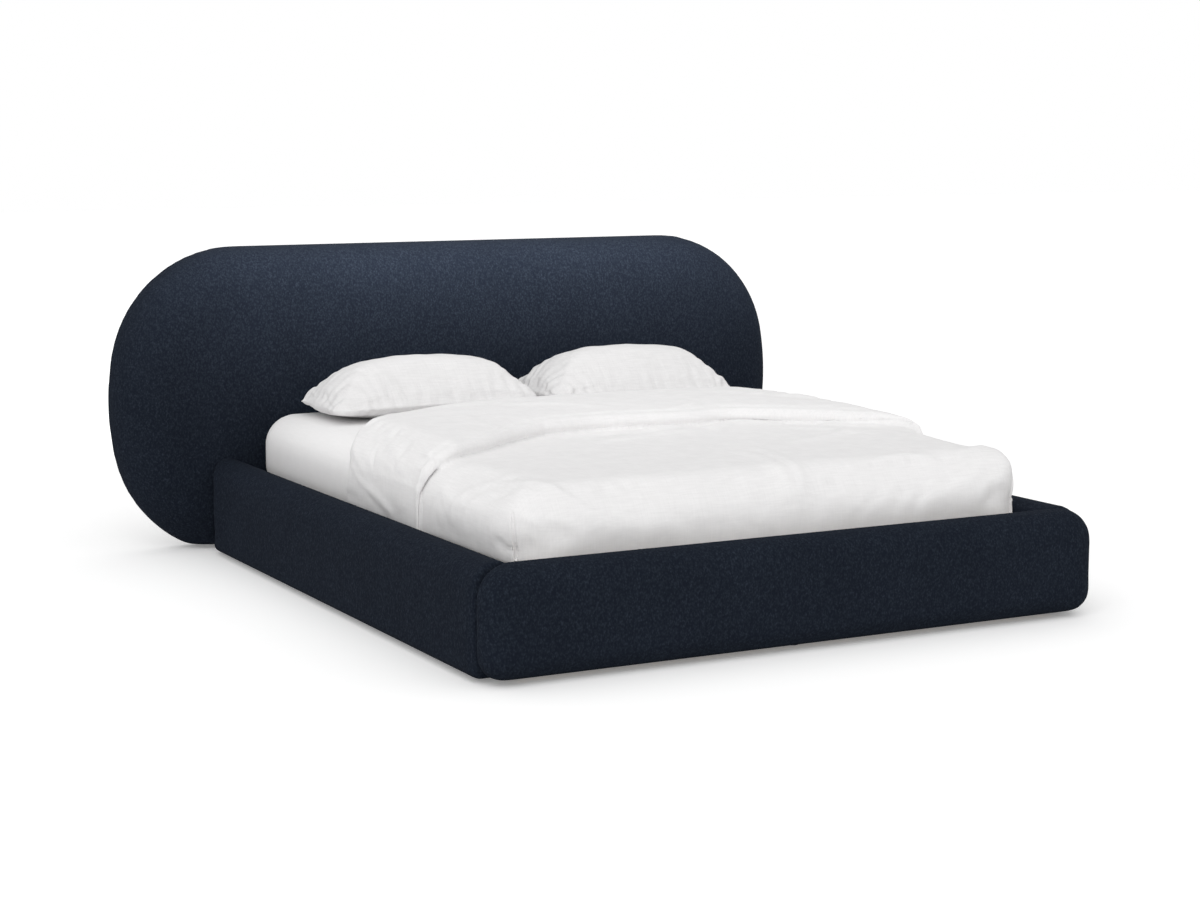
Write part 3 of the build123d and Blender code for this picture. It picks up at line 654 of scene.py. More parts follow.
@dataclass(frozen=True)
class SolidTimber(Finish):
    """Planed wood: long streaks of early and late wood along the grain, and a few darker flecks."""

    light: str = "#dcbf94"
    dark: str = "#b98f5e"
    grain: Along = Along.X
    ring: float = 9 * MM

    def paint(self, tree: Tree, shader: Node) -> None:
        """Paint the streaks along the grain and the pores between them."""
        place = self.place(tree, self.grain.scale(0.035))
        streaks = add_node(tree, "ShaderNodeTexNoise",
                           {"Scale": 1 / self.ring, "Detail": 4.0, "Distortion": 0.8}, {"Vector": place})
        pores = add_node(tree, "ShaderNodeTexNoise", {"Scale": 5 / self.ring, "Detail": 2.0},
                         {"Vector": place})
        self.tint(tree, shader, streaks.outputs["Fac"], [(0.3, self.dark), (0.62, self.light)])
        self.emboss(tree, shader, pores.outputs["Fac"], 0.3 * MM, 0.5)


@dataclass(frozen=True)
class Plywood(Finish):
    """Sanded birch plywood: a pale face with faint rotary-cut figure, and on its edges the dark and
    light layers, 1.5 mm thick."""

    light: str = "#e2c9a0"
    dark: str = "#a97f52"
    face: str = "#d8bc90"
    through: Along = Along.X
    layer: float = 3 * MM

    def paint(self, tree: Tree, shader: Node) -> None:
        """Paint the figure of the face, and the layers where the edge shows."""
        figure = add_node(tree, "ShaderNodeTexNoise",
                          {"Scale": 14.0, "Detail": 4.0, "Distortion": 1.5},
                          {"Vector": self.place(tree, (0.3, 0.12, 1))})
        layers = add_node(tree, "ShaderNodeTexWave",
                          {"wave_type": "BANDS", "bands_direction": self.through.name,
                           "Scale": WAVE_BAND / self.layer, "Distortion": 0.4},
                          {"Vector": self.place(tree)})
        face = ramp(tree, figure.outputs["Fac"], [(0.35, self.face), (0.65, self.light)])
        edge = ramp(tree, layers.outputs["Fac"], [(0.35, self.dark), (0.65, self.light)])
        geometry = add_node(tree, "ShaderNodeNewGeometry")
        parts = add_node(tree, "ShaderNodeSeparateXYZ", links={0: geometry.outputs["True Normal"]})
        facing = add_node(tree, "ShaderNodeMath", {"operation": "ABSOLUTE"},
                          {0: parts.outputs[self.through.value]})
        is_face = add_node(tree, "ShaderNodeMath", {"operation": "GREATER_THAN", 1: 0.7},
                           {0: facing.outputs[0]})
        colour = add_node(tree, "ShaderNodeMix", {"data_type": "RGBA"},
                          {0: is_face.outputs[0], 6: edge, 7: face})
        tree.links.new(colour.outputs[2], shader.inputs["Base Color"])
        self.emboss(tree, shader, figure.outputs["Fac"], 0.3 * MM, 0.4)


@dataclass(frozen=True)
class PowderCoat(Finish):
    """Black powder-coated steel: satin, with a fine orange-peel skin of bumps 2 mm across."""

    face: str = "#1b1c1e"
    worn: str = "#2a2b2e"

    def paint(self, tree: Tree, shader: Node) -> None:
        """Paint the skin, and patches a little duller where it is handled."""
        skin = add_node(tree, "ShaderNodeTexNoise", {"Scale": 1 / (2 * MM), "Detail": 2.0},
                        {"Vector": self.place(tree)})
        patches = add_node(tree, "ShaderNodeTexNoise", {"Scale": 18.0, "Detail": 3.0},
                           {"Vector": self.place(tree)})
        self.tint(tree, shader, patches.outputs["Fac"], [(0.4, self.face), (0.7, self.worn)])
        self.emboss(tree, shader, skin.outputs["Fac"], 0.15 * MM)


@dataclass(frozen=True)
class PlatedSteel(Finish):
    """Plated steel: bright, with drawing or turning marks along its length."""

    bright: str = "#c9ccd0"
    dull: str = "#9fa4aa"
    grain: Along = Along.Z

    def paint(self, tree: Tree, shader: Node) -> None:
        """Paint the marks in the colour, the roughness and the relief."""
        marks = add_node(tree, "ShaderNodeTexNoise", {"Scale": 1 / (1.5 * MM), "Detail": 3.0},
                         {"Vector": self.place(tree, self.grain.scale(0.1))})
        self.tint(tree, shader, marks.outputs["Fac"], [(0.35, self.dull), (0.65, self.bright)])
        spread = add_node(tree, "ShaderNodeMapRange",
                          {3: self.roughness * 0.7, 4: self.roughness * 1.4}, {0: marks.outputs["Fac"]})
        tree.links.new(spread.outputs[0], shader.inputs["Roughness"])
        self.emboss(tree, shader, marks.outputs["Fac"], 0.05 * MM)


@dataclass(frozen=True)
class Moulded(Finish):
    """Moulded nylon or rubber: an even colour with a fine spark-eroded grain, 1 mm across."""

    face: str = "#1d1e20"
    high: str = "#2b2c2f"

    def paint(self, tree: Tree, shader: Node) -> None:
        """Paint the grain and the slightly lighter high spots."""
        grain = add_node(tree, "ShaderNodeTexNoise", {"Scale": 1 / MM, "Detail": 2.0},
                         {"Vector": self.place(tree)})
        self.tint(tree, shader, grain.outputs["Fac"], [(0.4, self.face), (0.7, self.high)])
        self.emboss(tree, shader, grain.outputs["Fac"], 0.1 * MM)


NAVY_BOUCLE = Boucle("Wool blend boucle, looped and woven", roughness=1.0, gloss=0.05)
DUVET_COTTON = WovenCotton("Washed cotton duvet cover, plain woven", roughness=0.9, gloss=0.2)
PILLOW_COTTON = WovenCotton("Washed cotton pillowcase, plain woven", roughness=0.9, gloss=0.2,
                            warp="#ebeaea", weft="#e2e1e1", crease=45 * MM, crease_depth=6 * MM)
SHEET_COTTON = WovenCotton("Cotton jersey fitted sheet, knitted", roughness=0.9, gloss=0.2,
                           warp="#f8f7f7", weft="#f4f3f3", crease=150 * MM, crease_depth=2 * MM)
TICKING = QuiltedTicking("Knitted polyester ticking, quilted", roughness=0.85, sheen=0.1)
LINING = SpunLining("Spunbonded polypropylene lining", roughness=0.9)
STRAP_WEBBING = Webbing("Polyester webbing, woven", roughness=0.6)
PLY_ACROSS_X = Plywood("Birch plywood, sanded, upright along the bed", roughness=0.6, through=Along.X)
PLY_ACROSS_Y = Plywood("Birch plywood, sanded, upright across the bed", roughness=0.6, through=Along.Y)
PLY_ACROSS_Z = Plywood("Birch plywood, sanded, lying flat", roughness=0.6, through=Along.Z)
PINE_ALONG_X = SolidTimber("Pine batten, planed, across the bed", roughness=0.65, grain=Along.X)
PINE_ALONG_Y = SolidTimber("Pine strip, planed, along the bed", roughness=0.65, grain=Along.Y)
BEECH = SolidTimber("Beech slat, bent and lacquered", roughness=0.4, coat=0.3, light="#e0b98c",
                    dark="#c7975f", grain=Along.X, ring=5 * MM)
BLACK_STEEL = PowderCoat("Steel, black powder coated", roughness=0.45)
CHROME = PlatedSteel("Steel rod, hard chromed and ground", roughness=0.12, metallic=1.0)
ZINC = PlatedSteel("Steel, zinc plated", roughness=0.35, metallic=1.0, bright="#b9bcc0",
                   dull="#8d9298", grain=Along.X)
NYLON = Moulded("Nylon, injection moulded", roughness=0.5)
RUBBER = Moulded("Rubber, moulded", roughness=0.85, face="#141415", high="#1e1e20")


def dress(item: Object, finish: Finish) -> None:
    """Give an object one finish all over.

    Args:
        item: The object.
        finish: The finish.
    """
    material = finish.make()
    if not item.material_slots:
        item.data.materials.append(material)
    for place in item.material_slots:
        place.material = material


def dress_nodes(finish: Finish, *names: str) -> None:
    """Give some nodes of the frame one finish, in their own slots."""
    for name in names:
        dress(bpy.data.objects[name], finish)


def stand_for(item: Object, body: str, slot: str, finish: Finish, *nodes: str) -> None:
    """Dress a piece, tie it to a body, and hide the nodes that it stands for.

    Args:
        item: The piece.
        body: The body that it moves with.
        slot: The name of a material slot; it is not used.
        finish: Its finish.
        nodes: The nodes that it replaces.
    """
    dress(item, finish)
    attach(item, body)
    if nodes:
        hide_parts(*nodes)
    log.info("%s: %d faces", item.name, len(item.data.polygons))


def swept_cord(name: str, route: Points, radius: float) -> Object:
    """Make a round cord along a route.

    Args:
        name: The piece's name.
        route: The points along its middle.
        radius: Its radius in metres.

    Returns:
        The piece, as a mesh.
    """
    curve = bpy.data.curves.new(name, "CURVE")
    curve.dimensions = "3D"
    curve.bevel_depth = radius
    curve.bevel_resolution = 2
    curve.use_fill_caps = True
    line = curve.splines.new("POLY")
    line.points.add(len(route) - 1)
    line.points.foreach_set("co", np.hstack([route, np.ones((len(route), 1))]).ravel())
    make_active(add_object(name, curve))
    bpy.ops.object.convert(target="MESH")
    cord = bpy.context.view_layer.objects.active
    shade_smooth(cord)
    return cord


# The bed

@dataclass
class Headboard:
    """A pill-shaped padded headboard, with a lined back in a recess and piping round its back edge."""

    cell: float = 14 * MM
    run: ClothRun = ClothRun(pressure=3.0, cap=5 * MM, frames=12)
    half_width: float = 1.250
    half_height: float = 0.518
    middle_z: float = 0.485
    bottom_z: float = 0.012
    side_radius: float = 0.905
    shoulder_radius: float = 0.433
    back_y: float = 1.175
    held_back: float = 45 * MM
    held_z: float = 30 * MM
    back_facing: float = 0.3
    front_facing: tuple[float, float] = (0.3, 0.9)
    smooth_rounds: int = 6
    hollow_depth: float = 1.5 * MM
    hollow_size: float = 0.35
    piping_inset: float = 14 * MM
    piping_radius: float = 3 * MM
    piping_steps: int = 30

    def piping_ring(self) -> Points:
        """Return points round the pill, inside its outline by the piping's inset.

        Returns:
            Rows of x and z.
        """
        side = self.half_width - self.side_radius
        lift = self.half_height - self.shoulder_radius
        shoulder = side + math.sqrt((self.side_radius - self.shoulder_radius) ** 2 - lift ** 2)
        turn = math.atan2(lift, shoulder - side)
        small, large = self.shoulder_radius - self.piping_inset, self.side_radius - self.piping_inset
        right = np.vstack([
            arc((shoulder, -lift), small, -math.pi / 2, -turn, self.piping_steps),
            arc((side, 0), large, -turn, turn, self.piping_steps)[1:-1],
            arc((shoulder, lift), small, turn, math.pi / 2, self.piping_steps)])
        return np.vstack([right, right[::-1] * (-1, 1)]) + (0, self.middle_z)

    def build_pad(self) -> None:
        """Build the padded front and edge over the ribs."""
        pad = remeshed("headboard_pad", self.cell, "headboard_cover", "headboard_ribs")
        relax(pad, self.smooth_rounds)
        points = read_points(pad)
        normals = read_normals(pad)
        held = (points[:, 1] > self.back_y - self.held_back) | (points[:, 2] < self.held_z)
        held |= normals[:, 1] > self.back_facing
        self.run.blow(pad, held)
        front = smooth_step(-read_normals(pad)[:, 1], *self.front_facing)
        rise(pad, front * self.hollow_depth * noise_field(read_points(pad), self.hollow_size, 3.0))
        apply_modifier(pad, "SUBSURF", levels=1, render_levels=1)
        shade_smooth(pad)
        stand_for(pad, BASE, "upholstery", NAVY_BOUCLE, "headboard_cover")

    def build_piping(self) -> None:
        """Build the piping that closes the cover round the back edge."""
        ring = self.piping_ring()
        ring = ring[ring[:, 1] > self.bottom_z + self.piping_radius]
        order = np.argsort(np.arctan2(ring[:, 0], -(ring[:, 1] - self.middle_z)))
        route = np.insert(ring[order], 1, self.back_y - self.piping_inset, axis=1)
        piping = swept_cord("headboard_piping", route, self.piping_radius)
        stand_for(piping, BASE, "upholstery", NAVY_BOUCLE)

    def build(self) -> None:
        """Build the pad and its piping, and dress the board, ribs and lining behind them."""
        self.build_pad()
        self.build_piping()
        dress_nodes(PLY_ACROSS_Y, "headboard_panel")
        dress_nodes(PLY_ACROSS_X, "headboard_ribs")
        dress_nodes(LINING, "headboard_back")
        dress_nodes(ZINC, "headboard_bolts")


@dataclass
class BasePads:
    """The padding of the two side rails and of the foot panel."""

    cell: float = 12 * MM
    run: ClothRun = ClothRun(pressure=3.0, cap=2.5 * MM, frames=12)
    board_x: float = 0.853
    board_y: float = -1.107
    board_cover: float = 6 * MM
    low_z: float = 30 * MM
    smooth_rounds: int = 4
    hollow_depth: float = 0.7 * MM
    hollow_size: float = 0.30

    def build_pad(self, name: str, node: str, out: Spot, board: float, seed: float) -> None:
        """Build one pad, filled out and with slight hollows.

        Args:
            name: The pad's name.
            node: The node that it replaces.
            out: The direction that it faces.
            board: How far out the face of its board lies.
            seed: The shift of its hollows.
        """
        pad = remeshed(name, self.cell, node)
        relax(pad, self.smooth_rounds)
        points = read_points(pad)
        held = (points @ out < board + self.board_cover) | (points[:, 2] < self.low_z)
        self.run.blow(pad, held)
        depth = np.where(held, 0.0, self.hollow_depth)
        rise(pad, depth * noise_field(read_points(pad), self.hollow_size, seed))
        apply_modifier(pad, "SUBSURF", levels=1, render_levels=1)
        shade_smooth(pad)
        stand_for(pad, BASE, "upholstery", NAVY_BOUCLE, node)

    def build(self) -> None:
        """Build the three pads and dress the boards inside them."""
        self.build_pad("left_rail_pad", "left_rail_cover", (-1, 0, 0), self.board_x, 4.0)
        self.build_pad("right_rail_pad", "right_rail_cover", (1, 0, 0), self.board_x, 6.0)
        self.build_pad("footboard_pad", "footboard_cover", (0, -1, 0), -self.board_y, 9.0)
        dress_nodes(PLY_ACROSS_X, "left_rail_board", "right_rail_board")
        dress_nodes(PLY_ACROSS_Y, "footboard_board", "rear_rail")


@dataclass
class StorageBox:
    """The box under the platform: its floor, the strips that carry it, brackets, stops and glides."""

    def build(self) -> None:
        """Dress the box's pieces."""
        dress_nodes(PLY_ACROSS_Z, "floor_panel_foot", "floor_panel_middle", "floor_panel_head")
        dress_nodes(PINE_ALONG_X, "floor_battens")
        dress_nodes(PINE_ALONG_Y, "left_ledger", "right_ledger")
        dress_nodes(BLACK_STEEL, "corner_brackets", "left_rest_bracket", "right_rest_bracket",
                    "left_hinge_plate", "right_hinge_plate")
        dress_nodes(ZINC, "bracket_bolts", "left_hinge_pin", "right_hinge_pin", "left_hinge_screws",
                    "right_hinge_screws")
        dress_nodes(NYLON, "glides", "left_hinge_bush", "right_hinge_bush")
        dress_nodes(RUBBER, "rest_buffers")


@dataclass
class LiftFrame:
    """The steel frame with its sprung slats, the pull strap and the gas springs."""

    strap_x: float = 60 * MM
    strap_width: float = 40 * MM
    strap_thickness: float = 3 * MM
    strap_slack: float = 0.3 * MM
    strap_edge: float = 0.8 * MM
    strap_columns: int = 7
    tube_y: tuple[float, float] = (-1.025, -1.000)
    tube_z: tuple[float, float] = (0.218, 0.243)
    strap_low_z: float = 0.147
    bend: float = 8 * MM

    def strap_route(self) -> Points:
        """Return the closed middle line of the strap.

        Returns:
            Rows of y and z.
        """
        half = self.strap_thickness / 2
        out = half + self.strap_slack - self.bend
        y_low, y_high = self.tube_y[0] - out, self.tube_y[1] + out
        z_low, z_high = self.strap_low_z + half + self.bend, self.tube_z[1] + out
        corners = ((y_low, z_high), (y_high, z_high), (y_high, z_low), (y_low, z_low))
        quarter = math.pi / 2
        return np.vstack([arc(corner, self.bend, quarter * (2 - i), quarter * (1 - i), 6)
                          for i, corner in enumerate(corners)])

    def build_strap(self) -> None:
        """Build the webbing loop that lifts the platform."""
        strap = add_object("pull_strap_webbing", bpy.data.meshes.new("pull_strap_webbing"))
        across = self.strap_x + self.strap_width * np.linspace(-0.5, 0.5, self.strap_columns)
        with editing(strap) as work:
            rows = [[work.verts.new((x, y, z)) for x in across] for y, z in self.strap_route()]
            for near, far in zip(rows, rows[1:] + rows[:1]):
                for i in range(self.strap_columns - 1):
                    work.faces.new((near[i], near[i + 1], far[i + 1], far[i]))
            bmesh.ops.recalc_face_normals(work, faces=work.faces)
        apply_modifier(strap, "SOLIDIFY", thickness=self.strap_thickness, offset=0.0)
        apply_modifier(strap, "BEVEL", width=self.strap_edge, segments=2, limit_method="ANGLE")
        shade_smooth(strap, 35)
        stand_for(strap, PLATFORM, "webbing", STRAP_WEBBING, "pull_strap")

    def build(self) -> None:
        """Build the strap, and dress the tubes, slats, holders and springs."""
        self.build_strap()
        dress_nodes(BLACK_STEEL, "lift_frame_left", "lift_frame_right", "lift_frame_foot",
                    "lift_frame_head", "lift_frame_spine", "lift_frame_braces", "mattress_stop",
                    "left_gas_cylinder", "right_gas_cylinder")
        dress_nodes(CHROME, "left_gas_rod", "right_gas_rod")
        dress_nodes(BEECH, "slats_left", "slats_right")
        dress_nodes(NYLON, "slat_caps_left", "slat_caps_right", "slat_caps_centre")


@dataclass
class Mattress:
    """The foam mattress and its fitted sheet."""

    mattress_cell: float = 16 * MM
    mattress_rounds: int = 3
    sheet_cell: float = 12 * MM
    sheet_rounds: int = 4
    sheet_thickness: float = 1.2 * MM
    sheet_tightness: float = 0.6 * MM
    ripple_height: float = 0.6 * MM
    ripple_size: float = 50 * MM
    ripple_z: float = 0.40
    ripple_fade: float = 100 * MM
    hem_z: float = 0.270
    hem_reach: float = 12 * MM
    flat: tuple[float, float] = (2.02, 2.42)

    def build_mattress(self) -> None:
        """Build the mattress in its quilted cover."""
        block = remeshed("mattress_core", self.mattress_cell, "mattress")
        relax(block, self.mattress_rounds)
        shade_smooth(block)
        stand_for(block, PLATFORM, "ticking", TICKING, "mattress")

    def build_sheet(self) -> None:
        """Build the fitted sheet, tight over the top and sides and gathered at its hem."""
        sheet = remeshed("fitted_sheet_cotton", self.sheet_cell, "fitted_sheet", "mattress")
        cut_below(sheet, self.hem_z)
        relax(sheet, self.sheet_rounds)
        level_rim(sheet, self.hem_z, self.hem_reach)
        points = read_points(sheet)
        wall = smooth_step(self.ripple_z - points[:, 2], 0, self.ripple_fade)
        ripple = noise_field(points, self.ripple_size, 11.0, (1, 1, 6))
        rise(sheet, self.ripple_height * wall * ripple - self.sheet_tightness)
        apply_modifier(sheet, "SOLIDIFY", thickness=self.sheet_thickness, offset=-1.0)
        shade_smooth(sheet)
        stand_for(sheet, PLATFORM, "linen", SHEET_COTTON, "fitted_sheet")

    def build(self) -> None:
        """Build the mattress and its sheet."""
        self.build_mattress()
        self.build_sheet()


def even_path(line: Line, spacing: float) -> Points:
    """Return points at even steps along a line.

    Args:
        line: The line's corners.
        spacing: The longest step between the points.

    Returns:
        Rows of x, y and z, from one end of the line to the other.
    """
    corners = np.array(line)
    lengths = np.concatenate(([0], np.cumsum(np.linalg.norm(np.diff(corners, axis=0), axis=1))))
    marks = np.linspace(0, lengths[-1], int(lengths[-1] / spacing) + 2)
    return np.column_stack([np.interp(marks, lengths, corners[:, i]) for i in range(3)])


def round_bends(path: Points, spacing: float, reach: float) -> Points:
    """Return a path with the bends in its y rounded.

    Args:
        path: The path's points, at even steps.
        spacing: The step between them.
        reach: How far along the path each bend is spread.

    Returns:
        The points, moved along y alone. Both ends stay in place.
    """
    span = int(3 * reach / spacing)
    weights = np.exp(-0.5 * (np.arange(-span, span + 1) * spacing / reach) ** 2)
    y = path[:, 1]
    before = 2 * y[0] - y[span:0:-1]
    after = 2 * y[-1] - y[-2:-span - 2:-1]
    rounded = path.copy()
    rounded[:, 1] = np.convolve(np.concatenate((before, y, after)), weights / weights.sum(), "valid")
    return rounded


LAID_STEP = 8 * MM
LIP_EDGE = 3 * MM


@dataclass(frozen=True)
class Fold:
    """A ridge of cloth along a line, or a groove where its height is below 0, with a rounded section.

    It fades out towards both ends unless it is even. With a lip, it fades out towards its start alone
    and ends sharply on the side that the lip's direction points to. With a way, it pushes the cloth
    along that direction and not along the cloth's normals.
    """

    line: Line
    height: float
    width: float
    lip: Optional[Spot] = None
    even: bool = False
    way: Optional[Spot] = None

    def reach(self, points: Points) -> tuple[Points, Points, Points]:
        """Measure some points against the fold's line.

        Args:
            points: The cloth's points.

        Returns:
            Each point's distance from the line, its share of the way along it, and its signed
            distance from the lip.
        """
        nearest = np.full(len(points), np.inf)
        share = np.zeros(len(points))
        across = np.zeros(len(points))
        total = len(self.line) - 1
        lip = self.lip or (0, 0, 0)
        for number, (start, end) in enumerate(zip(self.line, self.line[1:])):
            a = np.array(start)
            along = np.array(end) - a
            t = np.clip((points - a) @ along / max(along @ along, 1e-12), 0, 1)
            offset = points - a - t[:, None] * along
            gap = np.linalg.norm(offset, axis=1)
            closer = gap < nearest
            nearest = np.where(closer, gap, nearest)
            share = np.where(closer, (number + t) / total, share)
            across = np.where(closer, offset @ lip, across)
        return nearest, share, across

    def laid_on(self, item: Object) -> "Fold":
        """Return the fold with its line drawn onto a surface.

        Args:
            item: The object that has the surface.

        Returns:
            The new fold.
        """
        tree = surface_tree(item)
        path = even_path(self.line, LAID_STEP)
        return replace(self, line=[tree.find_nearest(Vector(spot))[0] for spot in path])

    def add(self, points: Points) -> Points:
        """Return how far the fold moves each point.

        Args:
            points: The cloth's points.

        Returns:
            The moves in metres.
        """
        nearest, share, across = self.reach(points)
        taper = np.sqrt(np.clip(np.sin(np.clip(share, 0, 1) * math.pi), 0, 1))
        if self.even:
            taper = np.ones(len(points))
        if self.lip is not None:
            taper = smooth_step(share, -0.01, 0.3) * (1 - smooth_step(across, 0, LIP_EDGE))
        return self.height * taper * np.exp(-(nearest / self.width) ** 2)


def plain_folds(*rows: tuple) -> tuple[Fold, ...]:
    """Return folds from rows of a height, a width and the points of a line, all in millimetres."""
    return tuple(Fold(np.array(line) * MM, height * MM, width * MM) for height, width, *line in rows)


# The creases of the duvet. Each line lies on the cloth, measured from the bed's origin on the floor.

PLEATS = (
    Fold(((-0.795, -0.960, 0.425), (-0.800, -0.975, 0.355), (-0.800, -0.980, 0.272)), 5 * MM, 16 * MM,
         (0.86, -0.5, 0)),
    Fold(((-0.790, -0.966, 0.410), (-0.794, -0.979, 0.355), (-0.794, -0.984, 0.235)), -8 * MM, 3 * MM),
    Fold(((0.785, -0.985, 0.410), (0.780, -1.005, 0.355), (0.770, -1.015, 0.272)), 4 * MM, 14 * MM,
         (-0.8, -0.6, 0)),
    Fold(((0.780, -0.990, 0.405), (0.775, -1.009, 0.355), (0.765, -1.019, 0.235)), -6 * MM, 3 * MM),
)
EDGE_STEP = 25 * MM
EDGE_BEND = 38 * MM
FLAP_EDGE = even_path((
    (-0.8235, -0.425, 0.240), (-0.8235, -0.427, 0.360), (-0.812, -0.436, 0.397), (-0.788, -0.446, 0.436),
    (-0.771, -0.453, 0.451), (-0.738, -0.440, 0.469), (-0.705, -0.425, 0.476), (-0.574, -0.335, 0.476),
    (-0.427, -0.209, 0.476), (-0.279, -0.109, 0.476), (-0.098, -0.065, 0.476), (0.082, -0.085, 0.476),
    (0.221, -0.115, 0.476), (0.369, -0.085, 0.476), (0.509, -0.185, 0.476), (0.656, -0.275, 0.476),
    (0.738, -0.365, 0.469), (0.787, -0.455, 0.436), (0.812, -0.525, 0.394), (0.822, -0.549, 0.350),
    (0.822, -0.549, 0.240)), EDGE_STEP)
SOFT_EDGE = round_bends(FLAP_EDGE, EDGE_STEP, EDGE_BEND)
TOP_EDGE_Z = 0.45
TOP_EDGE = SOFT_EDGE[SOFT_EDGE[:, 2] > TOP_EDGE_Z]


def along_edge(y: float, z: float) -> Points:
    """Return the line that runs along the top of the flap's edge, moved by y and z."""
    return TOP_EDGE + (0, y, z)


FLAP_TUCK = Fold(SOFT_EDGE, 18 * MM, 5.5 * MM, even=True, way=(0, 1, 0))
FLAP_BULGE = Fold(along_edge(6 * MM, 23 * MM), 9 * MM, 15 * MM, even=True, way=(0, -1, 0))
FLAP_RIM = Fold(along_edge(14 * MM, 39 * MM), 3 * MM, 9 * MM)
FLAP_STITCHING = Fold(along_edge(38 * MM, 43 * MM), -3 * MM, 8 * MM)
FLAP_ROLLS = plain_folds(
    (11, 11, (-826, -409, 200), (-826, -411, 370), (-818, -417, 420), (-785, -425, 475)),
    (8, 11, (826, -533, 200), (824, -533, 360), (808, -505, 420), (780, -435, 475)),
)
SHOULDERS = (
    Fold(((0.775, -0.36, 0.45), (0.775, -0.60, 0.45), (0.770, -0.88, 0.44)), 18 * MM, 45 * MM,
         even=True, way=(0.7, 0, 0.7)),
    Fold(((0.800, -0.47, 0.455), (0.790, -0.42, 0.47), (0.790, -0.20, 0.49), (0.790, 0.10, 0.49),
          (0.790, 0.26, 0.49)), 30 * MM, 55 * MM, even=True, way=(0.75, 0, 0.55)),
    Fold(((0.770, -0.93, 0.44), (0.765, -0.985, 0.43)), 20 * MM, 48 * MM, even=True,
         way=(0.62, -0.33, 0.7)),
)
SIDE_FOLDS = plain_folds(
    (5, 13, (-820, 60, 400), (-820, 0, 360), (-820, -130, 320), (-820, -230, 295)),
    (-4, 12, (-820, 20, 360), (-820, -70, 330), (-820, -170, 300)),
    (4, 11, (-820, -60, 360), (-820, -160, 330), (-820, -240, 300)),
    (4, 14, (-790, 130, 470), (-815, 50, 430), (-820, -40, 395)),
    (4, 20, (-776, -90, 495), (-800, -200, 470), (-810, -290, 445)),
    (4, 16, (-800, 240, 460), (-815, 200, 400), (-820, 160, 330)),
)
CORNER_FOLDS = plain_folds(
    (5.5, 16, (-815, -640, 325), (-810, -645, 390), (-790, -680, 430), (-750, -770, 460),
     (-725, -895, 470), (-670, -985, 458)),
    (5.5, 14, (-815, -720, 315), (-810, -730, 385), (-795, -760, 420), (-770, -830, 450),
     (-745, -940, 460), (-705, -1003, 440)),
    (5, 12, (-815, -800, 305), (-814, -810, 375), (-803, -840, 410), (-783, -895, 438),
     (-760, -970, 440), (-727, -1020, 415)),
    (4, 10, (-815, -887, 320), (-814, -885, 375), (-800, -912, 410)),
    (5.5, 14, (-750, -830, 462), (-718, -900, 472), (-680, -967, 465), (-635, -1012, 433),
     (-580, -1038, 383), (-537, -1040, 340)),
    (5, 11, (-720, -963, 463), (-673, -1010, 436), (-630, -1034, 396), (-594, -1040, 354)),
    (4, 10, (-796, -958, 408), (-765, -1006, 398), (-738, -1030, 364)),
)
TOP_FOLDS = plain_folds(
    (8, 30, (-280, -350, 474), (-70, -300, 474), (90, -240, 474), (230, -190, 474)),
    (-9, 40, (-260, -200, 474), (-100, -160, 474), (10, -170, 474), (60, -230, 474)),
    (13, 22, (60, -120, 474), (120, -170, 474), (220, -160, 474)),
    (17, 34, (240, -200, 474), (350, -140, 475), (420, -160, 478), (500, -230, 474)),
    (8, 26, (600, -260, 474), (700, -330, 476), (760, -400, 470)),
    (-6, 20, (200, -300, 474), (240, -220, 474)),
    (7, 22, (30, -650, 474), (45, -790, 474), (10, -950, 470), (17, -1000, 445), (24, -1035, 390)),
    (7, 18, (110, -600, 474), (118, -740, 474), (65, -947, 471), (65, -995, 450), (50, -1030, 400)),
    (7, 24, (470, -280, 474), (475, -360, 474), (550, -420, 474), (540, -540, 474)),
    (8, 24, (250, -620, 474), (385, -575, 474), (540, -500, 474), (640, -550, 474)),
    (6, 20, (320, -956, 469), (450, -950, 470), (550, -990, 453)),
    (8, 18, (566, -992, 452), (634, -962, 467), (715, -932, 472), (770, -860, 455)),
    (6, 22, (700, -580, 474), (760, -700, 460), (790, -800, 440)),
    (4.5, 15, (120, -1008, 440), (177, -1002, 444), (228, -1018, 427)),
)
FLAP_FOLDS = plain_folds(
    (5.5, 22, (-456, 70, 525), (-500, -100, 521), (-467, -220, 509)),
    (6.5, 26, (-250, 255, 524), (-80, 186, 525), (40, 33, 522)),
    (5.5, 20, (-336, -80, 518), (-239, -60, 500), (-135, -40, 490)),
    (6.5, 20, (320, 95, 524), (300, 0, 521), (180, -60, 518)),
    (6.5, 20, (550, 100, 520), (714, 40, 520), (738, -50, 518)),
    (-5, 30, (500, 280, 520), (620, 100, 520), (720, -100, 515)),
    (-5, 34, (-620, 250, 520), (-400, 300, 524), (-100, 320, 524)),
)


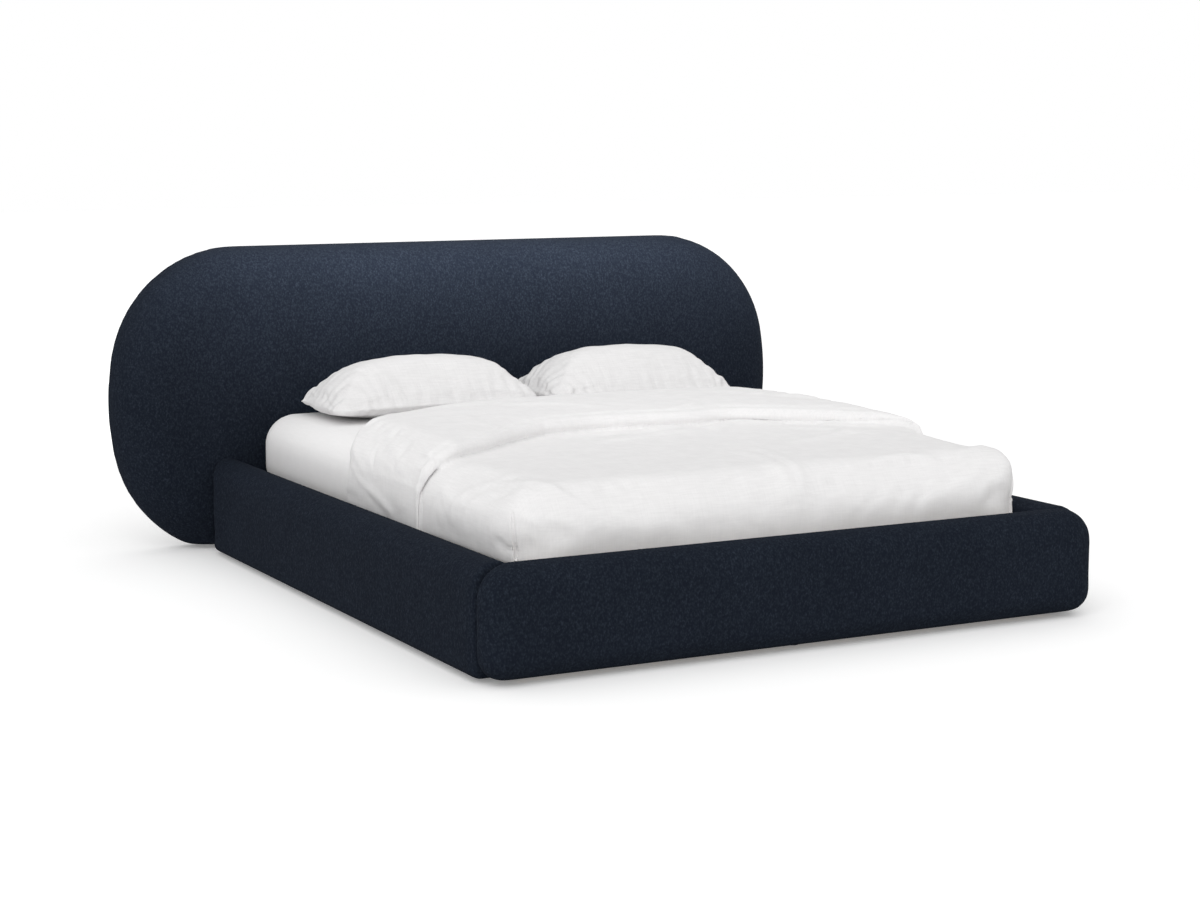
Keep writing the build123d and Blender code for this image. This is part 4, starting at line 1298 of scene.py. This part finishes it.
@dataclass
class Duvet:
    """A duvet that covers the mattress down to the rails, with its head end folded back on it."""

    cell: float = 10 * MM
    wall: float = 7 * MM
    rim_rounds: int = 4
    smooth_rounds: int = 3
    head_y: float = 0.1
    cover_gap: float = 8 * MM
    cover_search: float = 30 * MM
    hem_z: float = 0.274
    hem_reach: float = 12 * MM
    hem_still: float = 10 * MM
    hem_calm: float = 90 * MM
    run: ClothRun = ClothRun(pressure=2.0, shrink=-0.02, tension=8.0, bending=0.3, cap=7 * MM, frames=16)
    front_y: float = -0.985
    front_rounds: int = 14
    step_z: float = 0.485
    step_reach: float = 70 * MM
    crease_reach: float = 24 * MM
    tuck_reach: float = 9 * MM
    top_fade: tuple[float, float] = (45.5 * MM, 70 * MM)
    side_fade: tuple[float, float] = (35 * MM, 140 * MM)
    folds: tuple[Fold, ...] = (SIDE_FOLDS + CORNER_FOLDS + TOP_FOLDS + FLAP_FOLDS
                               + (FLAP_RIM, FLAP_STITCHING) + FLAP_ROLLS)
    pushes: tuple[Fold, ...] = SHOULDERS + (FLAP_TUCK, FLAP_BULGE)
    pleats: tuple[Fold, ...] = PLEATS
    pleat_reach: float = 24 * MM
    pleat_line: float = 7 * MM
    lump_height: float = 2.5 * MM
    lump_size: float = 0.16

    def build(self) -> None:
        """Build the duvet's cover from the shape that it takes over the mattress."""
        duvet = remeshed("duvet_cover", self.cell, "duvet", "fitted_sheet", "mattress")
        cut_below(duvet, self.hem_z)
        self.bare_sheet(duvet)
        keep_largest(duvet)
        even_rim(duvet, 2 * self.rim_rounds)
        relax(duvet, self.smooth_rounds)
        even_rim(duvet, self.rim_rounds)
        level_rim(duvet, self.hem_z, self.hem_reach)
        self.fill_out(duvet)
        self.sharpen_step(duvet)
        self.press_folds(duvet)
        self.press_pleats(duvet)
        apply_modifier(duvet, "SOLIDIFY", thickness=self.wall, offset=-1.0)
        shade_smooth(duvet, 70)
        stand_for(duvet, PLATFORM, "linen", DUVET_COTTON, "duvet")

    def bare_sheet(self, duvet: Object) -> None:
        """Delete the cloth that lies on the sheet, beyond the duvet's head end.

        Args:
            duvet: The duvet's cover.
        """
        sheet = surface_tree(bpy.data.objects["fitted_sheet"])
        with editing(duvet) as work:
            doomed = []
            for face in work.faces:
                middle = face.calc_center_median()
                gap = sheet.find_nearest(middle, self.cover_search)[3] if middle.y > self.head_y else None
                if gap and gap < self.cover_gap:
                    doomed.append(face)
            bmesh.ops.delete(work, geom=doomed, context="FACES")

    def fill_out(self, duvet: Object) -> None:
        """Blow up the cloth, more with the height above its hem, and calm its face at the foot.

        Args:
            duvet: The duvet's cover.
        """
        points = read_points(duvet)
        held = points[:, 2] < self.hem_z + self.hem_reach
        ease = smooth_step(points[:, 2], self.hem_z + self.hem_still, self.hem_z + self.hem_calm)
        self.run.blow(duvet, held, ease)
        relax(duvet, self.front_rounds, (read_points(duvet)[:, 1] < self.front_y) & ~held)

    def sharpen_step(self, duvet: Object) -> None:
        """Divide the cloth finely along the flap's edge and draw it onto the edge's step, with its bends
        rounded. The draw fades out away from the edge, and more slowly below the flap's top.

        Args:
            duvet: The duvet's cover.
        """
        for limit in (self.step_reach, self.crease_reach, self.tuck_reach):
            divide(duvet, lambda points: FLAP_TUCK.reach(points)[0] < limit, 1)
        skin = surface_tree(bpy.data.objects["duvet"])
        points = read_points(duvet)
        gap, share, _ = Fold(FLAP_EDGE, 0, 0).reach(points)
        pull = 1 - np.where(points[:, 2] > self.step_z, smooth_step(gap, *self.top_fade),
                            smooth_step(gap, *self.side_fade))
        for i in np.nonzero(pull > 0)[0]:
            spot = skin.find_nearest(Vector(points[i]))[0]
            points[i] += pull[i] * (np.array(spot) - points[i])
        marks = np.linspace(0, 1, len(FLAP_EDGE))
        points[:, 1] += pull * np.interp(share, marks, SOFT_EDGE[:, 1] - FLAP_EDGE[:, 1])
        write_points(duvet, points)
        relax(duvet, self.smooth_rounds, gap < self.step_reach)

    def press_folds(self, duvet: Object) -> None:
        """Press the folds and some soft lumps into the cloth, then push it where a fold has a way.

        Args:
            duvet: The duvet's cover.
        """
        points = read_points(duvet)
        amount = np.zeros(len(points))
        for fold in self.folds:
            amount += fold.add(points)
        amount += self.lump_height * noise_field(points, self.lump_size, 41.0)
        pushed = sum(np.outer(push.add(points), push.way) for push in self.pushes)
        rise(duvet, amount * (1 - smooth_step(FLAP_TUCK.add(points), 0, FLAP_TUCK.height)))
        write_points(duvet, read_points(duvet) + pushed)

    def press_pleats(self, duvet: Object) -> None:
        """Divide the cloth finely along each pleat, lift its lip and press in the line beside it.

        Args:
            duvet: The duvet's cover.
        """
        for pleat in self.pleats[::2]:
            divide(duvet, lambda points: pleat.reach(points)[0] < self.pleat_reach, 2)
        for pleat in self.pleats:
            laid = pleat.laid_on(duvet)
            divide(duvet, lambda points: laid.reach(points)[0] < self.pleat_line, 1)
            rise(duvet, laid.add(read_points(duvet)))


@dataclass
class Pillow:
    """A pillow in its case, fuller in the middle, with puckers that run in from its corners."""

    name: str
    node: str
    seed: float
    cell: float = 9 * MM
    smooth_rounds: int = 4
    run: ClothRun = ClothRun(pressure=3.0, shrink=-0.03, tension=8.0, bending=0.2, cap=10 * MM, frames=18)
    held_height: float = 6 * MM
    calm_low: float = 5 * MM
    calm_high: float = 40 * MM
    ring: float = 42 * MM
    ring_height: float = 3.6 * MM
    ring_reach: float = 0.15
    ring_wander: float = 24 * MM
    wander_size: float = 0.09
    seam_z: float = 0.5285
    seam_reach: float = 0.055
    pucker_height: float = 4.2 * MM
    pucker_size: float = 0.030
    lump_height: float = 4.5 * MM
    lump_size: float = 0.11
    droop_share: float = 0.32
    droop_reach: float = 80 * MM

    def corner_rings(self, points: Points) -> Points:
        """Return the curved creases round each corner, where the case is gathered to a point.

        Args:
            points: The pillow's points.

        Returns:
            How far each point moves along its normal.
        """
        low, high = points.min(axis=0), points.max(axis=0)
        total = np.zeros(len(points))
        wander = self.ring_wander * noise_field(points, self.wander_size, self.seed)
        for x in (low[0], high[0]):
            for y in (low[1], high[1]):
                gap = np.hypot(points[:, 0] - x, points[:, 1] - y) + wander
                wave = np.sin(gap / self.ring * math.tau)
                total += self.ring_height * wave * np.exp(-(gap / self.ring_reach) ** 2)
        return total

    def seam_puckers(self, points: Points) -> Points:
        """Return the short creases that run up from the seam, and soft lumps all over.

        Args:
            points: The pillow's points.

        Returns:
            How far each point moves along its normal.
        """
        near = np.exp(-((points[:, 2] - self.seam_z) / self.seam_reach) ** 2)
        crumple = noise_field(points, self.pucker_size, self.seed + 7, (1, 3.5, 3.5))
        lumps = noise_field(points, self.lump_size, self.seed + 13)
        return near * self.pucker_height * crumple + self.lump_height * lumps

    def droop(self, pillow: Object) -> None:
        """Let the pillow's border sink towards what it lies on.

        Args:
            pillow: The pillow.
        """
        points = read_points(pillow)
        low, high = points.min(axis=0), points.max(axis=0)
        inside = np.minimum(points - low, high - points)[:, :2].min(axis=1)
        share = 1 - self.droop_share * np.exp(-(inside / self.droop_reach) ** 2)
        points[:, 2] = low[2] + (points[:, 2] - low[2]) * share
        write_points(pillow, points)

    def build(self) -> None:
        """Build the pillow."""
        pillow = remeshed(self.name, self.cell, self.node)
        relax(pillow, self.smooth_rounds)
        points = read_points(pillow)
        low = points[:, 2].min()
        self.run.blow(pillow, points[:, 2] < low + self.held_height)
        self.droop(pillow)
        points = read_points(pillow)
        free = smooth_step(points[:, 2], low + self.calm_low, low + self.calm_high)
        rise(pillow, free * (self.corner_rings(points) + self.seam_puckers(points)))
        apply_modifier(pillow, "SUBSURF", levels=1, render_levels=1)
        shade_smooth(pillow, 70)
        stand_for(pillow, PLATFORM, "linen", PILLOW_COTTON, self.node)


@dataclass(frozen=True)
class Lamp:
    """A light that faces a point: a soft rectangular lamp, or a wide sun where it has no sides.

    The angle is that of a lamp's beam, or the part of the sky that a sun fills, in degrees.
    """

    name: str
    place: Spot
    aim: Spot
    power: float
    angle: float
    sides: Optional[tuple[float, float]] = None

    def add(self) -> None:
        """Add the light to the scene."""
        data = bpy.data.lights.new(self.name, "AREA" if self.sides else "SUN")
        data.energy = self.power
        if self.sides:
            data.shape = "RECTANGLE"
            data.size, data.size_y = self.sides
            data.spread = math.radians(self.angle)
        else:
            data.angle = math.radians(self.angle)
        lamp = add_object(self.name, data)
        lamp.location = self.place
        lamp.rotation_euler = (Vector(self.aim) - lamp.location).to_track_quat("-Z", "Y").to_euler()


LAMPS = (
    Lamp("ceiling", place=(0.1, -0.2, 1.0), aim=(0, 0, 0), power=0.15, angle=100),
    Lamp("window", place=(-0.55, -0.66, 0.55), aim=(0, 0, 0), power=1.0, angle=60),
    Lamp("on_headboard", place=(0.2, -1.6, 2.2), aim=(0.1, 1.1, 1.51), power=36, angle=40,
         sides=(2.2, 0.3)),
    Lamp("over_pillows", place=(0.0, 0.1, 2.6), aim=(0.0, 0.2, 0.5), power=0.45, angle=55,
         sides=(1.6, 0.4)),
)


@dataclass
class Studio:
    """A white floor and backdrop, soft light, and the camera."""

    floor_size: float = 60.0
    floor_grey: float = 0.8
    floor_glow: float = 0.19
    sky: float = 0.68
    lens: float = 69.702
    sensor: float = 36
    camera_place: Spot = (-3.3701, -6.2879, 1.4111)
    camera_tilt: float = 90 - 8.058
    camera_turn: float = -27.992

    def build_floor(self) -> None:
        """Build the floor, white to the camera where no shadow falls."""
        deselect()
        bpy.ops.mesh.primitive_plane_add(size=self.floor_size)
        floor = bpy.context.active_object
        floor.name = "studio_floor"
        material = bpy.data.materials.new("Matt white studio floor")
        material.use_nodes = True
        tree = material.node_tree
        shader = tree.nodes["Principled BSDF"]
        shader.inputs["Roughness"].default_value = 1.0
        shader.inputs["Specular IOR Level"].default_value = 0.0
        path = add_node(tree, "ShaderNodeLightPath")
        shade = add_node(tree, "ShaderNodeMapRange", {3: self.floor_grey, 4: 1.0},
                         {0: path.outputs["Is Camera Ray"]})
        tree.links.new(shade.outputs[0], shader.inputs["Base Color"])
        seen = add_node(tree, "ShaderNodeMath", {"operation": "MULTIPLY", 1: self.floor_glow},
                        {0: path.outputs["Is Camera Ray"]})
        tree.links.new(seen.outputs[0], shader.inputs["Emission Strength"])
        shader.inputs["Emission Color"].default_value = (1, 1, 1, 1)
        floor.data.materials.append(material)

    def build_world(self) -> None:
        """Build the world: white behind the bed, and a dimmer even light on it."""
        world = bpy.data.worlds.new("studio")
        bpy.context.scene.world = world
        world.use_nodes = True
        tree = world.node_tree
        tree.nodes.clear()
        path = add_node(tree, "ShaderNodeLightPath")
        seen = add_node(tree, "ShaderNodeMath", {"operation": "MAXIMUM"},
                        {0: path.outputs["Is Camera Ray"], 1: path.outputs["Is Glossy Ray"]})
        through = add_node(tree, "ShaderNodeMath", {"operation": "MAXIMUM"},
                           {0: seen.outputs[0], 1: path.outputs["Is Transmission Ray"]})
        strength = add_node(tree, "ShaderNodeMapRange", {3: self.sky, 4: 1.0}, {0: through.outputs[0]})
        back = add_node(tree, "ShaderNodeBackground", {"Color": (1, 1, 1, 1)},
                        {"Strength": strength.outputs[0]})
        add_node(tree, "ShaderNodeOutputWorld", links={"Surface": back.outputs[0]})

    def build_camera(self) -> None:
        """Build the camera at the photograph's place."""
        data = bpy.data.cameras.new("camera")
        data.lens = self.lens
        data.sensor_width = self.sensor
        camera = add_object("camera", data)
        camera.location = self.camera_place
        camera.rotation_euler = (math.radians(self.camera_tilt), 0, math.radians(self.camera_turn))
        bpy.context.scene.camera = camera

    def build(self) -> None:
        """Build the floor, the light and the camera."""
        self.build_floor()
        self.build_world()
        for lamp in LAMPS:
            lamp.add()
        self.build_camera()
        bpy.context.scene.view_settings.view_transform = "Standard"


def main() -> None:
    """Build the bed and its studio."""
    logging.basicConfig(level=logging.INFO, format="%(name)s: %(message)s")
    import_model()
    deselect()
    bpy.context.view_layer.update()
    Studio().build()
    parts = [
        Headboard(),
        BasePads(),
        StorageBox(),
        LiftFrame(),
        Mattress(),
        Duvet(),
        Pillow("left_pillow_case", "left_pillow", 21.0),
        Pillow("right_pillow_case", "right_pillow", 33.0),
    ]
    for part in parts:
        part.build()
        log.info("%s built", type(part).__name__)


if __name__ == "__main__":
    main()
